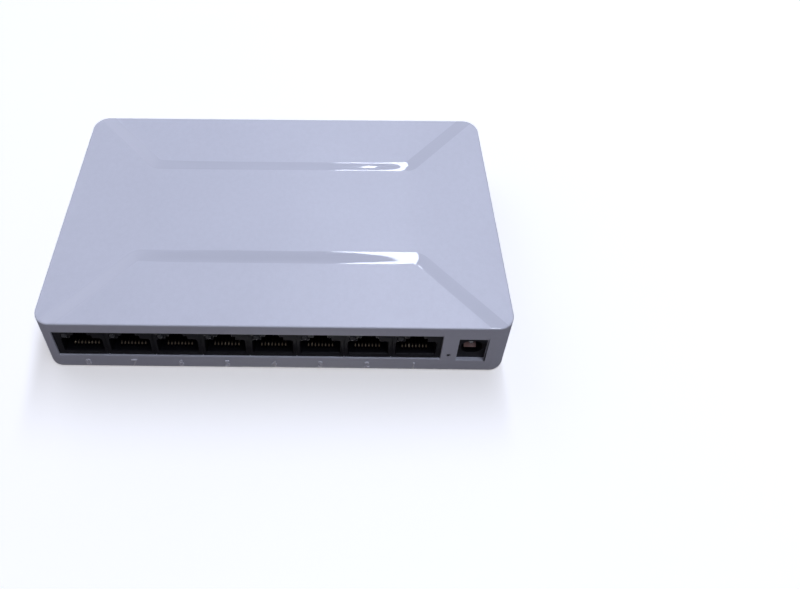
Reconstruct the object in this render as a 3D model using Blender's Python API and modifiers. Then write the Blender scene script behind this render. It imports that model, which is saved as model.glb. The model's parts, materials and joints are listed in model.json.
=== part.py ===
"""Eight-port desktop network switch: plastic tub cover with a stepped top, base plate, circuit board,
ganged modular jacks with spring contacts, power jack, lights, feet and screws.

Frame: metres, +Z up, origin at the centre of the footprint on the plane the feet stand on.
The port wall faces -Y and the long side runs along X.
"""

import math

import bmesh
import bpy
from mathutils import Matrix, Vector
from mathutils.geometry import delaunay_2d_cdt

MM = 0.001

# ---- driving dimensions, in millimetres; heights are above the underside of the case ----
CASE_W, CASE_D, CASE_H = 138.5, 79.5, 23.7
CORNER_R = 5.0
WALL = 2.0
ROOF = 2.0
EDGE_R = 0.45
FOOT_PROUD = 1.0

# stepped top: a raised centre, two bright strips, and two facets that dip towards them
CREST_Y, CREST_RISE = 15.7, 0.9
TROUGH_Y, TROUGH_DROP = 19.6, 0.44
CREST_DIAGONAL = 28.6
TROUGH_DIAGONAL = 22.7

# port wall
PORTS = 8
PORT_PITCH = 13.97
PORT_ROW_X = -7.4
WINDOW_X = (-64.0, 49.0)
WINDOW_Z = (7.0, 19.4)
POWER_WINDOW_X = (53.8, 62.3)
POWER_WINDOW_Z = (5.8, 17.7)
PINHOLE_X, PINHOLE_Z, PINHOLE_R = 51.4, 8.7, 0.5
DIGIT_Z, DIGIT_SIZE, DIGIT_PROUD = 1.3, 3.9, 0.25

# modular jacks
JACK_RECESS = 0.4
JACK_DEPTH = 18.0
JACK_Z = (6.8, 20.0)
PLUG_HALF_W, PLUG_Z = 5.85, (8.5, 15.4)
NOTCH_HALF_W, NOTCH_TOP = 3.1, 17.1
LATCH_HALF_W, LATCH_TOP = 1.9, 18.7
PLUG_DEPTH = 13.0
WIRE_PITCH, WIRE_W, WIRE_T = 1.02, 0.5, 0.35
WIRE_PIVOT_DEPTH, WIRE_PIVOT_Z = 2.6, 8.95
WIRE_LENGTH, WIRE_RISE = 8.0, 14.0
LENS_DX, LENS_Z, LENS_R = -4.6, 17.0, 1.0

# power jack
POWER_X, POWER_Z = 58.05, 12.0
POWER_BORE_R, POWER_BORE_DEPTH = 3.25, 9.5
POWER_PIN_R = 1.0
LEAF_PIVOT_Y, LEAF_PIVOT_Z, LEAF_W = -26.6, 8.55, 3.6

# board and base
BOARD_Z = (4.9, 6.5)
BOARD_X, BOARD_Y = 64.4, (-36.9, 17.0)
BASE_T = 2.0
GAP = 0.3
FOOT_R, FOOT_X, FOOT_Y = 4.0, 56.0, 29.0
CASE_SCREW = (45.0, 31.0)
BOARD_SCREW = (60.5, 12.5)

HALF_W, HALF_D = CASE_W / 2, CASE_D / 2
FRONT_Y = -HALF_D
JACK_FACE_Y = FRONT_Y + JACK_RECESS
WALL_IN_Y = FRONT_Y + WALL

# ---- scene ----
for old in list(bpy.data.objects):
    bpy.data.objects.remove(old, do_unlink=True)

parts = bpy.data.collections.new("network_switch")
cutters = bpy.data.collections.new("cutters")
for made in (parts, cutters):
    bpy.context.scene.collection.children.link(made)
cutters.hide_render = True

frame = bpy.data.objects.new("switch_frame", None)
frame.location = (0, 0, FOOT_PROUD * MM)
parts.objects.link(frame)


def material(name, colour, roughness, metallic=0.0):
    made = bpy.data.materials.new(name)
    made.use_nodes = True
    shader = made.node_tree.nodes["Principled BSDF"]
    shader.inputs["Base Color"].default_value = (*colour, 1.0)
    shader.inputs["Roughness"].default_value = roughness
    shader.inputs["Metallic"].default_value = metallic
    made.diffuse_color = (*colour, 1.0)
    return made


def place(name, mesh, look=None, at=(0, 0, 0), turn=(0, 0, 0), cutter=False):
    """A new object in the parts or the cutters, at a place in millimetres in the case's frame."""
    made = bpy.data.objects.new(name, mesh)
    made.location = Vector(at) * MM
    made.rotation_euler = turn
    made.parent = frame
    if cutter:
        cutters.objects.link(made)
        made.hide_render = True
        made.display_type = "WIRE"
    else:
        parts.objects.link(made)
        mesh.materials.append(look)
    return made


def mesh_of(name, bm):
    bmesh.ops.recalc_face_normals(bm, faces=bm.faces[:])
    mesh = bpy.data.meshes.new(name)
    bm.to_mesh(mesh)
    bm.free()
    return mesh


def add_box(bm, lo, hi):
    lo, hi = Vector(lo) * MM, Vector(hi) * MM
    middle, size = (lo + hi) / 2, hi - lo
    bmesh.ops.create_cube(bm, size=1.0, matrix=Matrix.Translation(middle) @ Matrix.Diagonal((*size, 1.0)))


def add_cylinder(bm, radius, low, high, centre, axis="Z", sides=24, top_radius=None):
    """A cylinder or cone from low to high along an axis, round the centre's other two coordinates."""
    turns = {"Z": Matrix.Identity(4), "Y": Matrix.Rotation(-math.pi / 2, 4, "X"), "X": Matrix.Rotation(math.pi / 2, 4, "Y")}
    middle = Vector(centre)
    middle["XYZ".index(axis)] = (low + high) / 2
    bmesh.ops.create_cone(
        bm,
        cap_ends=True,
        segments=sides,
        radius1=radius * MM,
        radius2=(radius if top_radius is None else top_radius) * MM,
        depth=(high - low) * MM,
        matrix=Matrix.Translation(middle * MM) @ turns[axis],
    )


def boxes_mesh(name, *boxes):
    bm = bmesh.new()
    for lo, hi in boxes:
        add_box(bm, lo, hi)
    return mesh_of(name, bm)


def outline_mesh(name, points, thickness):
    """A flat outline in the XY plane made solid: a filled 2D curve with an extrusion, turned into a closed mesh."""
    curve = bpy.data.curves.new(name, "CURVE")
    curve.dimensions = "2D"
    curve.fill_mode = "BOTH"
    curve.extrude = thickness * MM / 2
    spline = curve.splines.new("POLY")
    spline.points.add(len(points) - 1)
    for point, (x, y) in zip(spline.points, points):
        point.co = (x * MM, y * MM, 0, 1)
    spline.use_cyclic_u = True
    holder = bpy.data.objects.new(name + "_outline", curve)
    bpy.context.scene.collection.objects.link(holder)
    bpy.context.view_layer.update()
    graph = bpy.context.evaluated_depsgraph_get()
    mesh = bpy.data.meshes.new_from_object(holder.evaluated_get(graph))
    bpy.data.objects.remove(holder, do_unlink=True)
    bm = bmesh.new()
    bm.from_mesh(mesh)
    bmesh.ops.remove_doubles(bm, verts=bm.verts[:], dist=1e-6)
    bmesh.ops.recalc_face_normals(bm, faces=bm.faces[:])
    bm.to_mesh(mesh)
    bm.free()
    mesh.name = name
    return mesh


def rounded(half_x, half_y, radius, steps):
    """Points round a rectangle with rounded corners, anticlockwise."""
    points = []
    for sx, sy, start in ((1, -1, -90), (1, 1, 0), (-1, 1, 90), (-1, -1, 180)):
        for k in range(steps + 1):
            turn = math.radians(start + 90 * k / steps)
            points.append((sx * (half_x - radius) + radius * math.cos(turn), sy * (half_y - radius) + radius * math.sin(turn)))
    return points


def boolean(target, other, operation="DIFFERENCE"):
    made = target.modifiers.new(other.name, "BOOLEAN")
    made.operation = operation
    made.solver = "EXACT"
    made.object = other
    return made


def bevel(target, width, segments=2, angle=50):
    made = target.modifiers.new("edges", "BEVEL")
    made.width = width * MM
    made.segments = segments
    made.limit_method = "ANGLE"
    made.angle_limit = math.radians(angle)
    made.use_clamp_overlap = True
    return made


def turned(name, profile, look, at, turn=(0, 0, 0), steps=20):
    """A turned solid: a profile from the top of the axis, down its outer side, to the bottom of the axis."""
    mesh = bpy.data.meshes.new(name)
    mesh.from_pydata([(r * MM, 0, z * MM) for r, z in profile], [(i, i + 1) for i in range(len(profile) - 1)], [])
    made = place(name, mesh, look, at, turn)
    screw = made.modifiers.new("turn", "SCREW")
    screw.steps = screw.render_steps = steps
    screw.use_merge_vertices = True
    screw.merge_threshold = 0.00001
    screw.use_smooth_shade = True
    return made


def smooth(target, angle=35):
    target.data.shade_smooth()
    target.data.set_sharp_from_angle(angle=math.radians(angle))


port_x = [PORT_ROW_X + PORT_PITCH * (i - (PORTS - 1) / 2) for i in range(PORTS)]
# Port 1 is the one next to the power jack, so the numbers run from right to left.
port_of = {PORTS - i: x for i, x in enumerate(port_x)}

# ---- looks ----
cool_white = material("cool_white_plastic", (0.62, 0.64, 0.70), 0.42)
black = material("black_jack_plastic", (0.012, 0.011, 0.014), 0.45)
base_white = material("base_plate_plastic", (0.55, 0.57, 0.62), 0.55)
rubber = material("grey_rubber", (0.10, 0.10, 0.11), 0.85)
board_green = material("board_laminate", (0.02, 0.16, 0.07), 0.45)
gold = material("gold_plate", (0.90, 0.62, 0.24), 0.25, 1.0)
copper = material("tinned_copper_leaf", (0.72, 0.42, 0.36), 0.32, 1.0)
nickel = material("nickel_plate", (0.72, 0.71, 0.68), 0.25, 1.0)
steel = material("zinc_plated_steel", (0.62, 0.63, 0.64), 0.35, 1.0)
milky = material("milky_lens", (0.80, 0.82, 0.80), 0.2)
package = material("chip_package", (0.02, 0.02, 0.022), 0.5)
fins = material("black_anodised_aluminium", (0.05, 0.05, 0.055), 0.4, 1.0)
sleeve = material("capacitor_sleeve", (0.03, 0.04, 0.09), 0.3)
ferrite = material("ferrite", (0.06, 0.055, 0.05), 0.6)

# ---- top cover: the four walls and the stepped top are one moulding ----


def stepped_block():
    """The case's outer envelope: its roof plan cut into facets along the creases, lifted, then drawn down to the base."""
    ring = rounded(HALF_W, HALF_D, CORNER_R, 10)
    # where each diagonal crease meets the rim
    corner = Vector((HALF_W - CORNER_R, HALF_D - CORNER_R))
    shift = CREST_DIAGONAL - (corner.x - corner.y)
    up = (math.sqrt(2 * CORNER_R**2 - shift**2) - shift) / 2
    crest_rim = (corner.x + up + shift, corner.y + up)
    trough_rim = (HALF_D + TROUGH_DIAGONAL, HALF_D)
    for sx in (1, -1):
        for sy in (1, -1):
            for x, y in (crest_rim, trough_rim):
                ring.append((sx * x, sy * y))
    ring.sort(key=lambda p: math.atan2(p[1] / HALF_D, p[0] / HALF_W))
    tidy = []
    for point in ring:
        if not tidy or (Vector(point) - Vector(tidy[-1])).length > 0.12:
            tidy.append(point)
    ring = tidy
    height = {}
    points = [Vector(p) for p in ring]
    edges = [(i, (i + 1) % len(points)) for i in range(len(points))]

    def nearest(x, y):
        return min(range(len(ring)), key=lambda i: (points[i] - Vector((x, y))).length)

    for sy in (1, -1):
        for reach_x, y, lift, rim in (
            (CREST_Y + CREST_DIAGONAL, CREST_Y, CREST_RISE, crest_rim),
            (TROUGH_Y + TROUGH_DIAGONAL, TROUGH_Y, -TROUGH_DROP, trough_rim),
        ):
            ends = []
            for sx in (-1, 1):
                points.append(Vector((sx * reach_x, sy * y)))
                height[len(points) - 1] = CASE_H + lift
                ends.append(len(points) - 1)
                edges.append((nearest(sx * rim[0], sy * rim[1]), len(points) - 1))
            edges.append(tuple(ends))
    # the crest's corners are joined across the centre, so the raised part stays flat there
    crest = [i for i, z in height.items() if z > CASE_H]
    for sx in (-1, 1):
        pair = [i for i in crest if points[i].x * sx > 0]
        edges.append(tuple(pair))
    verts, _, faces, origin, _, _ = delaunay_2d_cdt(points, edges, [], 0, 1e-4)
    bm = bmesh.new()
    made = []
    for i, vert in enumerate(verts):
        z = next((height[k] for k in origin[i] if k in height), CASE_H)
        made.append(bm.verts.new((vert.x * MM, vert.y * MM, z * MM)))
    for face in faces:
        bm.faces.new([made[i] for i in face])
    bmesh.ops.recalc_face_normals(bm, faces=bm.faces[:])
    below = bmesh.ops.extrude_face_region(bm, geom=bm.faces[:])
    for item in below["geom"]:
        if isinstance(item, bmesh.types.BMVert):
            item.co.z = 0
    return mesh_of("top_cover", bm)


top_cover = place("top_cover", stepped_block(), cool_white)
bevel(top_cover, EDGE_R, 2)

hollow = place(
    "case_hollow",
    outline_mesh("case_hollow", rounded(HALF_W - WALL, HALF_D - WALL, CORNER_R - WALL, 6), CASE_H - ROOF + 1),
    at=(0, 0, (CASE_H - ROOF - 1) / 2),
    cutter=True,
)
boolean(top_cover, hollow)

bm = bmesh.new()
add_box(bm, (WINDOW_X[0], FRONT_Y - 1, WINDOW_Z[0]), (WINDOW_X[1], WALL_IN_Y + 0.5, WINDOW_Z[1]))
add_box(bm, (POWER_WINDOW_X[0], FRONT_Y - 1, POWER_WINDOW_Z[0]), (POWER_WINDOW_X[1], WALL_IN_Y + 0.5, POWER_WINDOW_Z[1]))
add_cylinder(bm, PINHOLE_R, FRONT_Y - 1, WALL_IN_Y + 0.5, (PINHOLE_X, 0, PINHOLE_Z), "Y", 16)
# pockets in the side walls for the base plate's snap tongues
for sx in (-1, 1):
    x = sorted((sx * (HALF_W - WALL - 0.5), sx * (HALF_W - WALL + 0.9)))
    add_box(bm, (x[0], -21.0, 7.4), (x[1], -11.0, 9.6))
front_windows = place("front_windows", mesh_of("front_windows", bm), cutter=True)
boolean(top_cover, front_windows)

# screw bosses hang from the roof at the back
bm = bmesh.new()
for sx in (-1, 1):
    add_cylinder(bm, 3.3, 4.5, CASE_H - ROOF + 0.6, (sx * CASE_SCREW[0], CASE_SCREW[1], 0), "Z", 20)
bosses = place("cover_bosses", mesh_of("cover_bosses", bm), cutter=True)
boolean(top_cover, bosses, "UNION")
bm = bmesh.new()
for sx in (-1, 1):
    add_cylinder(bm, 1.65, 4.0, 15.0, (sx * CASE_SCREW[0], CASE_SCREW[1], 0), "Z", 16)
boss_bores = place("cover_boss_bores", mesh_of("cover_boss_bores", bm), cutter=True)
boolean(top_cover, boss_bores)


def digit_mesh(number):
    """One raised port number: a plain digit, extruded and standing upright in the XZ plane."""
    curve = bpy.data.curves.new("digit", "FONT")
    curve.body = str(number)
    curve.size = DIGIT_SIZE * MM
    curve.align_x = "CENTER"
    curve.resolution_u = 2
    curve.extrude = 0.3 * MM
    holder = bpy.data.objects.new("digit", curve)
    bpy.context.scene.collection.objects.link(holder)
    bpy.context.view_layer.update()
    mesh = bpy.data.meshes.new_from_object(holder.evaluated_get(bpy.context.evaluated_depsgraph_get()))
    bpy.data.objects.remove(holder, do_unlink=True)
    bm = bmesh.new()
    bm.from_mesh(mesh)
    bmesh.ops.remove_doubles(bm, verts=bm.verts[:], dist=1e-6)
    bmesh.ops.rotate(bm, verts=bm.verts[:], cent=(0, 0, 0), matrix=Matrix.Rotation(math.pi / 2, 3, "X"))
    bmesh.ops.translate(bm, verts=bm.verts[:], vec=Vector((0, FRONT_Y + 0.3 - DIGIT_PROUD, DIGIT_Z)) * MM)
    bmesh.ops.recalc_face_normals(bm, faces=bm.faces[:])
    bm.to_mesh(mesh)
    bm.free()
    return mesh


bm = bmesh.new()
for number, x in port_of.items():
    one = digit_mesh(number)
    one.transform(Matrix.Translation((x * MM, 0, 0)))
    bm.from_mesh(one)
digits = place("port_numbers", mesh_of("port_numbers", bm), cutter=True)
# the figure 4's outline defeats the exact solver
boolean(top_cover, digits, "UNION").solver = "MANIFOLD"
smooth(top_cover, 20)

# ---- base plate: an inset panel with posts, snap tongues, vents, foot recesses and hanging keyholes ----
base_plate = place(
    "base_plate",
    outline_mesh("base_plate", rounded(HALF_W - WALL - GAP, HALF_D - WALL - GAP, CORNER_R - WALL - GAP, 6), BASE_T),
    base_white,
    at=(0, 0, BASE_T / 2),
)
POSTS = [(sx * BOARD_SCREW[0], BOARD_SCREW[1]) for sx in (-1, 1)] + [(-60.5, -18.0), (60.5, -18.0)]
bm = bmesh.new()
for x, y in POSTS:
    add_cylinder(bm, 2.6, BASE_T - 0.5, BOARD_Z[0] - GAP, (x, y, 0), "Z", 16)
for sx in (-1, 1):
    add_cylinder(bm, 5.0, BASE_T - 0.5, 4.2, (sx * CASE_SCREW[0], CASE_SCREW[1], 0), "Z", 20)
base_posts = place("base_posts", mesh_of("base_posts", bm), cutter=True)
boolean(base_plate, base_posts, "UNION")
# each tongue springs up beside the side wall, and its hook sits in the wall's pocket
bm = bmesh.new()
for sx in (-1, 1):
    inner, outer = HALF_W - WALL - GAP - 1.2, HALF_W - WALL - GAP
    x = sorted((sx * inner, sx * outer))
    add_box(bm, (x[0], -20.0, BASE_T - 0.5), (x[1], -12.0, 10.2))
base_tongues = place("base_tongues", mesh_of("base_tongues", bm), cutter=True)
boolean(base_plate, base_tongues, "UNION")
bm = bmesh.new()
for sx in (-1, 1):
    x = sorted((sx * (HALF_W - WALL - GAP - 0.4), sx * (HALF_W - WALL + 0.45)))
    add_box(bm, (x[0], -19.0, 8.0), (x[1], -13.0, 9.0))
base_hooks = place("base_hooks", mesh_of("base_hooks", bm), cutter=True)
boolean(base_plate, base_hooks, "UNION")

bm = bmesh.new()
for i in range(11):
    x = -30.0 + 6.0 * i
    add_box(bm, (x - 1.0, -12.0, -1), (x + 1.0, 6.0, BASE_T + 1))
for sx in (-1, 1):
    for sy in (-1, 1):
        add_cylinder(bm, FOOT_R + 0.3, -1, 0.8, (sx * FOOT_X, sy * FOOT_Y, 0), "Z", 28)
    add_cylinder(bm, 1.7, -1, 5.0, (sx * CASE_SCREW[0], CASE_SCREW[1], 0), "Z", 16)
for x, y in POSTS[:2]:
    add_cylinder(bm, 1.4, 2.6, 6.0, (x, y, 0), "Z", 16)
base_cuts = place("base_cuts", mesh_of("base_cuts", bm), cutter=True)
boolean(base_plate, base_cuts)
bm = bmesh.new()
for sx in (-1, 1):
    add_cylinder(bm, 3.3, -1, 2.3, (sx * CASE_SCREW[0], CASE_SCREW[1], 0), "Z", 24)
    # keyhole: a round entry for the screw's head
    add_cylinder(bm, 3.6, -1, 3.0, (sx * 44.0, -3.0, 0), "Z", 24)
base_recesses = place("base_recesses", mesh_of("base_recesses", bm), cutter=True)
boolean(base_plate, base_recesses)
bm = bmesh.new()
for sx in (-1, 1):
    # and a narrow slot above it for its neck
    add_box(bm, (sx * 44.0 - 1.9, -3.0, -1), (sx * 44.0 + 1.9, 7.0, 3.0))
base_slots = place("base_slots", mesh_of("base_slots", bm), cutter=True)
boolean(base_plate, base_slots)

# ---- feet ----
for row, sy in (("front", -1), ("rear", 1)):
    for side, sx in (("left", -1), ("right", 1)):
        turned(
            f"foot_{row}_{side}",
            [(0, 0.5), (FOOT_R - 0.1, 0.5), (FOOT_R, 0.4), (FOOT_R, -0.7), (FOOT_R - 0.3, -FOOT_PROUD), (0, -FOOT_PROUD)],
            rubber,
            (sx * FOOT_X, sy * FOOT_Y, 0),
            steps=28,
        )

# ---- screws ----
for side, sx in (("left", -1), ("right", 1)):
    screw = turned(
        f"case_screw_{side}",
        [(0, 12.5), (0.7, 12.5), (1.35, 11.2), (1.35, 2.0), (2.8, 2.0), (2.8, 1.2), (2.3, 0.5), (0, 0.5)],
        steel,
        (sx * CASE_SCREW[0], CASE_SCREW[1], 0),
        steps=20,
    )
    cross = place(
        f"case_drive_{side}",
        boxes_mesh("case_drive", ((-1.5, -0.3, -0.2), (1.5, 0.3, 1.3))),
        at=(sx * CASE_SCREW[0], CASE_SCREW[1], 0),
        cutter=True,
    )
    cross_b = place(
        f"case_drive_b_{side}",
        boxes_mesh("case_drive_b", ((-0.3, -1.5, -0.2), (0.3, 1.5, 1.31))),
        at=(sx * CASE_SCREW[0], CASE_SCREW[1], 0),
        cutter=True,
    )
    boolean(screw, cross)
    boolean(screw, cross_b)
    turned(
        f"board_screw_{side}",
        [(0, 8.3), (1.6, 8.3), (2.4, 7.7), (2.4, 6.8), (1.1, 6.8), (1.1, 3.2), (0, 3.2)],
        steel,
        (sx * BOARD_SCREW[0], BOARD_SCREW[1], 0),
        steps=16,
    )

# ---- main board ----
main_board = place(
    "main_board",
    boxes_mesh("main_board", ((-BOARD_X, BOARD_Y[0], BOARD_Z[0]), (BOARD_X, BOARD_Y[1], BOARD_Z[1]))),
    board_green,
)
bm = bmesh.new()
for x, y in POSTS[:2]:
    add_cylinder(bm, 1.5, BOARD_Z[0] - 1, BOARD_Z[1] + 1, (x, y, 0), "Z", 16)
# the power jack's flange drops in front of the board
add_box(bm, (POWER_X - 5.3, BOARD_Y[0] - 1, BOARD_Z[0] - 1), (POWER_X + 5.3, -34.9, BOARD_Z[1] + 1))
board_cuts = place("board_cuts", mesh_of("board_cuts", bm), cutter=True)
boolean(main_board, board_cuts)

# ---- ganged modular jack housing ----
housing = place(
    "rj45_housing",
    boxes_mesh(
        "rj45_housing",
        ((WINDOW_X[0] - 0.4, WALL_IN_Y + GAP, JACK_Z[0]), (WINDOW_X[1] + 0.4, JACK_FACE_Y + JACK_DEPTH, JACK_Z[1])),
    ),
    black,
)
nose = place(
    "rj45_nose",
    boxes_mesh(
        "rj45_nose",
        ((WINDOW_X[0] + GAP, JACK_FACE_Y, WINDOW_Z[0] + 0.25), (WINDOW_X[1] - GAP, WALL_IN_Y + 1.5, WINDOW_Z[1] - 0.25)),
    ),
    cutter=True,
)
boolean(housing, nose, "UNION")


def port_outline():
    """The front outline of one opening: plug space with eased corners, then two steps up for the latch."""
    ease = 0.6
    right = [
        (PLUG_HALF_W - 0.3, PLUG_Z[0]),
        (PLUG_HALF_W, PLUG_Z[0] + 0.3),
        (PLUG_HALF_W, PLUG_Z[1] - ease),
        (PLUG_HALF_W - ease, PLUG_Z[1]),
        (NOTCH_HALF_W, PLUG_Z[1]),
        (NOTCH_HALF_W, NOTCH_TOP - 0.3),
        (NOTCH_HALF_W - 0.3, NOTCH_TOP),
        (LATCH_HALF_W, NOTCH_TOP),
        (LATCH_HALF_W, LATCH_TOP),
    ]
    return right + [(-x, z) for x, z in reversed(right)]


opening = outline_mesh("port_opening", port_outline(), PLUG_DEPTH + 1)
# drawn in XY, so it is stood up to run along Y
opening.transform(Matrix.Rotation(math.pi / 2, 4, "X"))
bm = bmesh.new()
for number, x in port_of.items():
    one = opening.copy()
    one.transform(Matrix.Translation(Vector((x, JACK_FACE_Y + (PLUG_DEPTH - 1) / 2, 0)) * MM))
    bm.from_mesh(one)
openings = place("port_openings", mesh_of("port_openings", bm), cutter=True)
boolean(housing, openings)
bm = bmesh.new()
for number, x in port_of.items():
    # the contacts' trough in the floor, and the bore of the light
    add_box(bm, (x - 4.25, JACK_FACE_Y + 1.6, 7.6), (x + 4.25, JACK_FACE_Y + PLUG_DEPTH - 1.0, PLUG_Z[0] + 0.3))
    add_cylinder(bm, LENS_R + 0.15, JACK_FACE_Y - 1, JACK_FACE_Y + 8.3, (x + LENS_DX, 0, LENS_Z), "Y", 16)
troughs = place("port_troughs", mesh_of("port_troughs", bm), cutter=True)
boolean(housing, troughs)


# ---- spring contacts: eight gold wires a port, on one root bar ----
def wire_comb():
    """A comb in plan: the root bar at the pivot, and eight wires that run back from it."""
    span = WIRE_PITCH * 7 / 2 + WIRE_W / 2
    points = [(-span, -0.3), (span, -0.3)]
    for k in reversed(range(8)):
        middle = WIRE_PITCH * (k - 3.5)
        points += [(middle + WIRE_W / 2, 0.3), (middle + WIRE_W / 2, WIRE_LENGTH), (middle - WIRE_W / 2, WIRE_LENGTH), (middle - WIRE_W / 2, 0.3)]
    # the bar's ends line up with the outer wires, so those two corners aren't needed
    del points[2]
    del points[-1]
    return points


comb = outline_mesh("port_contacts", wire_comb(), WIRE_T)
comb.transform(Matrix.Rotation(math.radians(WIRE_RISE), 4, "X"))
for number, x in port_of.items():
    place(
        f"port_{number}_contacts",
        comb.copy(),
        gold,
        at=(x, JACK_FACE_Y + WIRE_PIVOT_DEPTH, WIRE_PIVOT_Z),
    )

# ---- lights: a domed rod in the upper left shoulder of each port, and the power light behind the pinhole ----
for number, x in port_of.items():
    turned(
        f"port_{number}_light",
        [(0, 0.35), (0.45, 0.27), (0.8, 0.05), (LENS_R, -0.25), (LENS_R, -7.6), (0, -7.6)],
        milky,
        (x + LENS_DX, JACK_FACE_Y, LENS_Z),
        turn=(math.pi / 2, 0, 0),
        steps=14,
    )
turned(
    "power_light",
    [(0, 0.0), (0.6, -0.1), (1.0, -0.5), (1.1, -0.9), (1.1, -5.0), (0, -5.0)],
    milky,
    (PINHOLE_X, WALL_IN_Y + GAP, PINHOLE_Z),
    turn=(math.pi / 2, 0, 0),
    steps=16,
)

# ---- power jack ----
jack_y = WALL_IN_Y + GAP
power_jack = place(
    "power_jack_housing",
    boxes_mesh("power_jack_housing", ((POWER_X - 4.5, jack_y + 1.0, 6.8), (POWER_X + 4.5, jack_y + 14.2, 17.2))),
    black,
)
flange = place(
    "power_jack_flange",
    boxes_mesh("power_jack_flange", ((POWER_X - 4.8, jack_y, 5.3), (POWER_X + 4.8, jack_y + 2.0, 18.2))),
    cutter=True,
)
boolean(power_jack, flange, "UNION")
bm = bmesh.new()
add_cylinder(bm, POWER_BORE_R, jack_y - 1, jack_y + POWER_BORE_DEPTH, (POWER_X, 0, POWER_Z), "Y", 32)
power_bore = place("power_bore", mesh_of("power_bore", bm), cutter=True)
boolean(power_jack, power_bore)
bm = bmesh.new()
add_cylinder(bm, POWER_PIN_R + 0.2, jack_y + 5, jack_y + 20, (POWER_X, 0, POWER_Z), "Y", 16)
pin_bore = place("power_pin_bore", mesh_of("power_pin_bore", bm), cutter=True)
boolean(power_jack, pin_bore)
leaf_slot = place(
    "power_leaf_slot",
    boxes_mesh("power_leaf_slot", ((POWER_X - 2.1, jack_y + 0.7, 7.4), (POWER_X + 2.1, jack_y + 11.9, 10.3))),
    cutter=True,
)
boolean(power_jack, leaf_slot)

turned(
    "power_jack_pin",
    [(0, -0.6), (0.55, -0.6), (POWER_PIN_R, -1.3), (POWER_PIN_R, -13.6), (0, -13.6)],
    nickel,
    (POWER_X, jack_y, POWER_Z),
    turn=(math.pi / 2, 0, 0),
    steps=20,
)


def leaf_outline():
    """The leaf's side view, from its root forward: a rising arm, a rounded crest, and a nose that dips for the plug."""
    line = [(0.0, 0.0), (-4.0, 0.35), (-7.0, 0.95), (-8.2, 1.15), (-9.2, 1.0), (-10.1, 0.35)]
    thick = 0.15
    upper = [(y, z + thick) for y, z in line]
    lower = [(y, z - thick) for y, z in reversed(line)]
    return upper + lower


leaf = outline_mesh("power_jack_leaf", [(-y, z) for y, z in leaf_outline()], LEAF_W)
# the side view is drawn with +X forward, so it is stood up and turned to face -Y
leaf.transform(Matrix.Rotation(-math.pi / 2, 4, "Z") @ Matrix.Rotation(math.pi / 2, 4, "X"))
place("power_jack_leaf", leaf, copper, at=(POWER_X, LEAF_PIVOT_Y, LEAF_PIVOT_Z))
place(
    "power_jack_switch_contact",
    boxes_mesh("power_jack_switch_contact", ((-1.2, -7.0, -0.15), (1.2, 0.0, 0.15))),
    nickel,
    at=(POWER_X, LEAF_PIVOT_Y, 7.75),
)

# ---- what the board carries ----
top = BOARD_Z[1] + GAP


def package_at(name, centre, size, look, ease=0.25):
    x, y = centre
    made = place(name, boxes_mesh(name, ((-size[0] / 2, -size[1] / 2, 0), (size[0] / 2, size[1] / 2, size[2]))), look, at=(x, y, top))
    if ease:
        bevel(made, ease, 1)
    return made


for k in range(4):
    package_at(f"lan_transformer_{k + 1}", (PORT_ROW_X + 27.94 * (1.5 - k), -14.5), (17.5, 9.5, 4.2), package, 0.4)
package_at("switch_chip", (-7.4, 3.5), (14.0, 14.0, 1.4), package)
sink = package_at("heat_sink", (-7.4, 3.5), (14.0, 14.0, 6.0), fins, 0)
sink.location.z += 1.7 * MM
bm = bmesh.new()
for k in range(5):
    x = -5.0 + 2.5 * k
    add_box(bm, (x - 0.65, -8, 1.6), (x + 0.65, 8, 7))
fin_gaps = place("fin_gaps", mesh_of("fin_gaps", bm), at=(-7.4, 3.5, top + 1.7), cutter=True)
boolean(sink, fin_gaps)
package_at("config_memory", (12.0, 6.0), (4.9, 3.9, 1.5), package)
package_at("voltage_regulator", (42.0, -5.5), (4.9, 3.9, 1.5), package)
package_at("buck_inductor", (42.0, 3.5), (6.0, 6.0, 3.0), ferrite, 0.6)
package_at("clock_crystal", (-27.0, 6.0), (11.0, 4.6, 3.5), nickel, 1.2)
for k, (x, y) in enumerate(((54.0, -8.0), (54.0, 4.0))):
    turned(
        f"capacitor_{k + 1}",
        [(0, 7.7), (2.6, 7.7), (3.15, 7.2), (3.15, 1.2), (2.9, 0.9), (3.15, 0.6), (3.15, 0.0), (0, 0.0)],
        sleeve,
        (x, y, top),
        steps=20,
    )
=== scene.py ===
import json
import math

import bmesh
import bpy
from mathutils import Matrix, Vector, noise
from mathutils.geometry import delaunay_2d_cdt


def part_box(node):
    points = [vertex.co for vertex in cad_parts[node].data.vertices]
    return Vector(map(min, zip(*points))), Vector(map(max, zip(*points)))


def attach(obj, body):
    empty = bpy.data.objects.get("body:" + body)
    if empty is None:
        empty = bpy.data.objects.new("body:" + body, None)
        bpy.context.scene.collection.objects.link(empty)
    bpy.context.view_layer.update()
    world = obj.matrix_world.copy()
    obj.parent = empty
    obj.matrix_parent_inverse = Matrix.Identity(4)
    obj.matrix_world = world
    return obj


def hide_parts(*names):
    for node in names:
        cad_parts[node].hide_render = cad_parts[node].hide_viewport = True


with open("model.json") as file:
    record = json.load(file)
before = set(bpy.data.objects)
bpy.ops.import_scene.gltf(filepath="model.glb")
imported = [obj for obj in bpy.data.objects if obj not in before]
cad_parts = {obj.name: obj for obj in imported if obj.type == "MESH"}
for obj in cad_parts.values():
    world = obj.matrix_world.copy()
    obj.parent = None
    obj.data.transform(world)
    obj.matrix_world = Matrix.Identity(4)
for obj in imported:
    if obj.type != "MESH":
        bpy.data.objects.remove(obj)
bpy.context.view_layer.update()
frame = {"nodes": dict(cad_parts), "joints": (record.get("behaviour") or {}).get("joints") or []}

MM = 0.001

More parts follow.
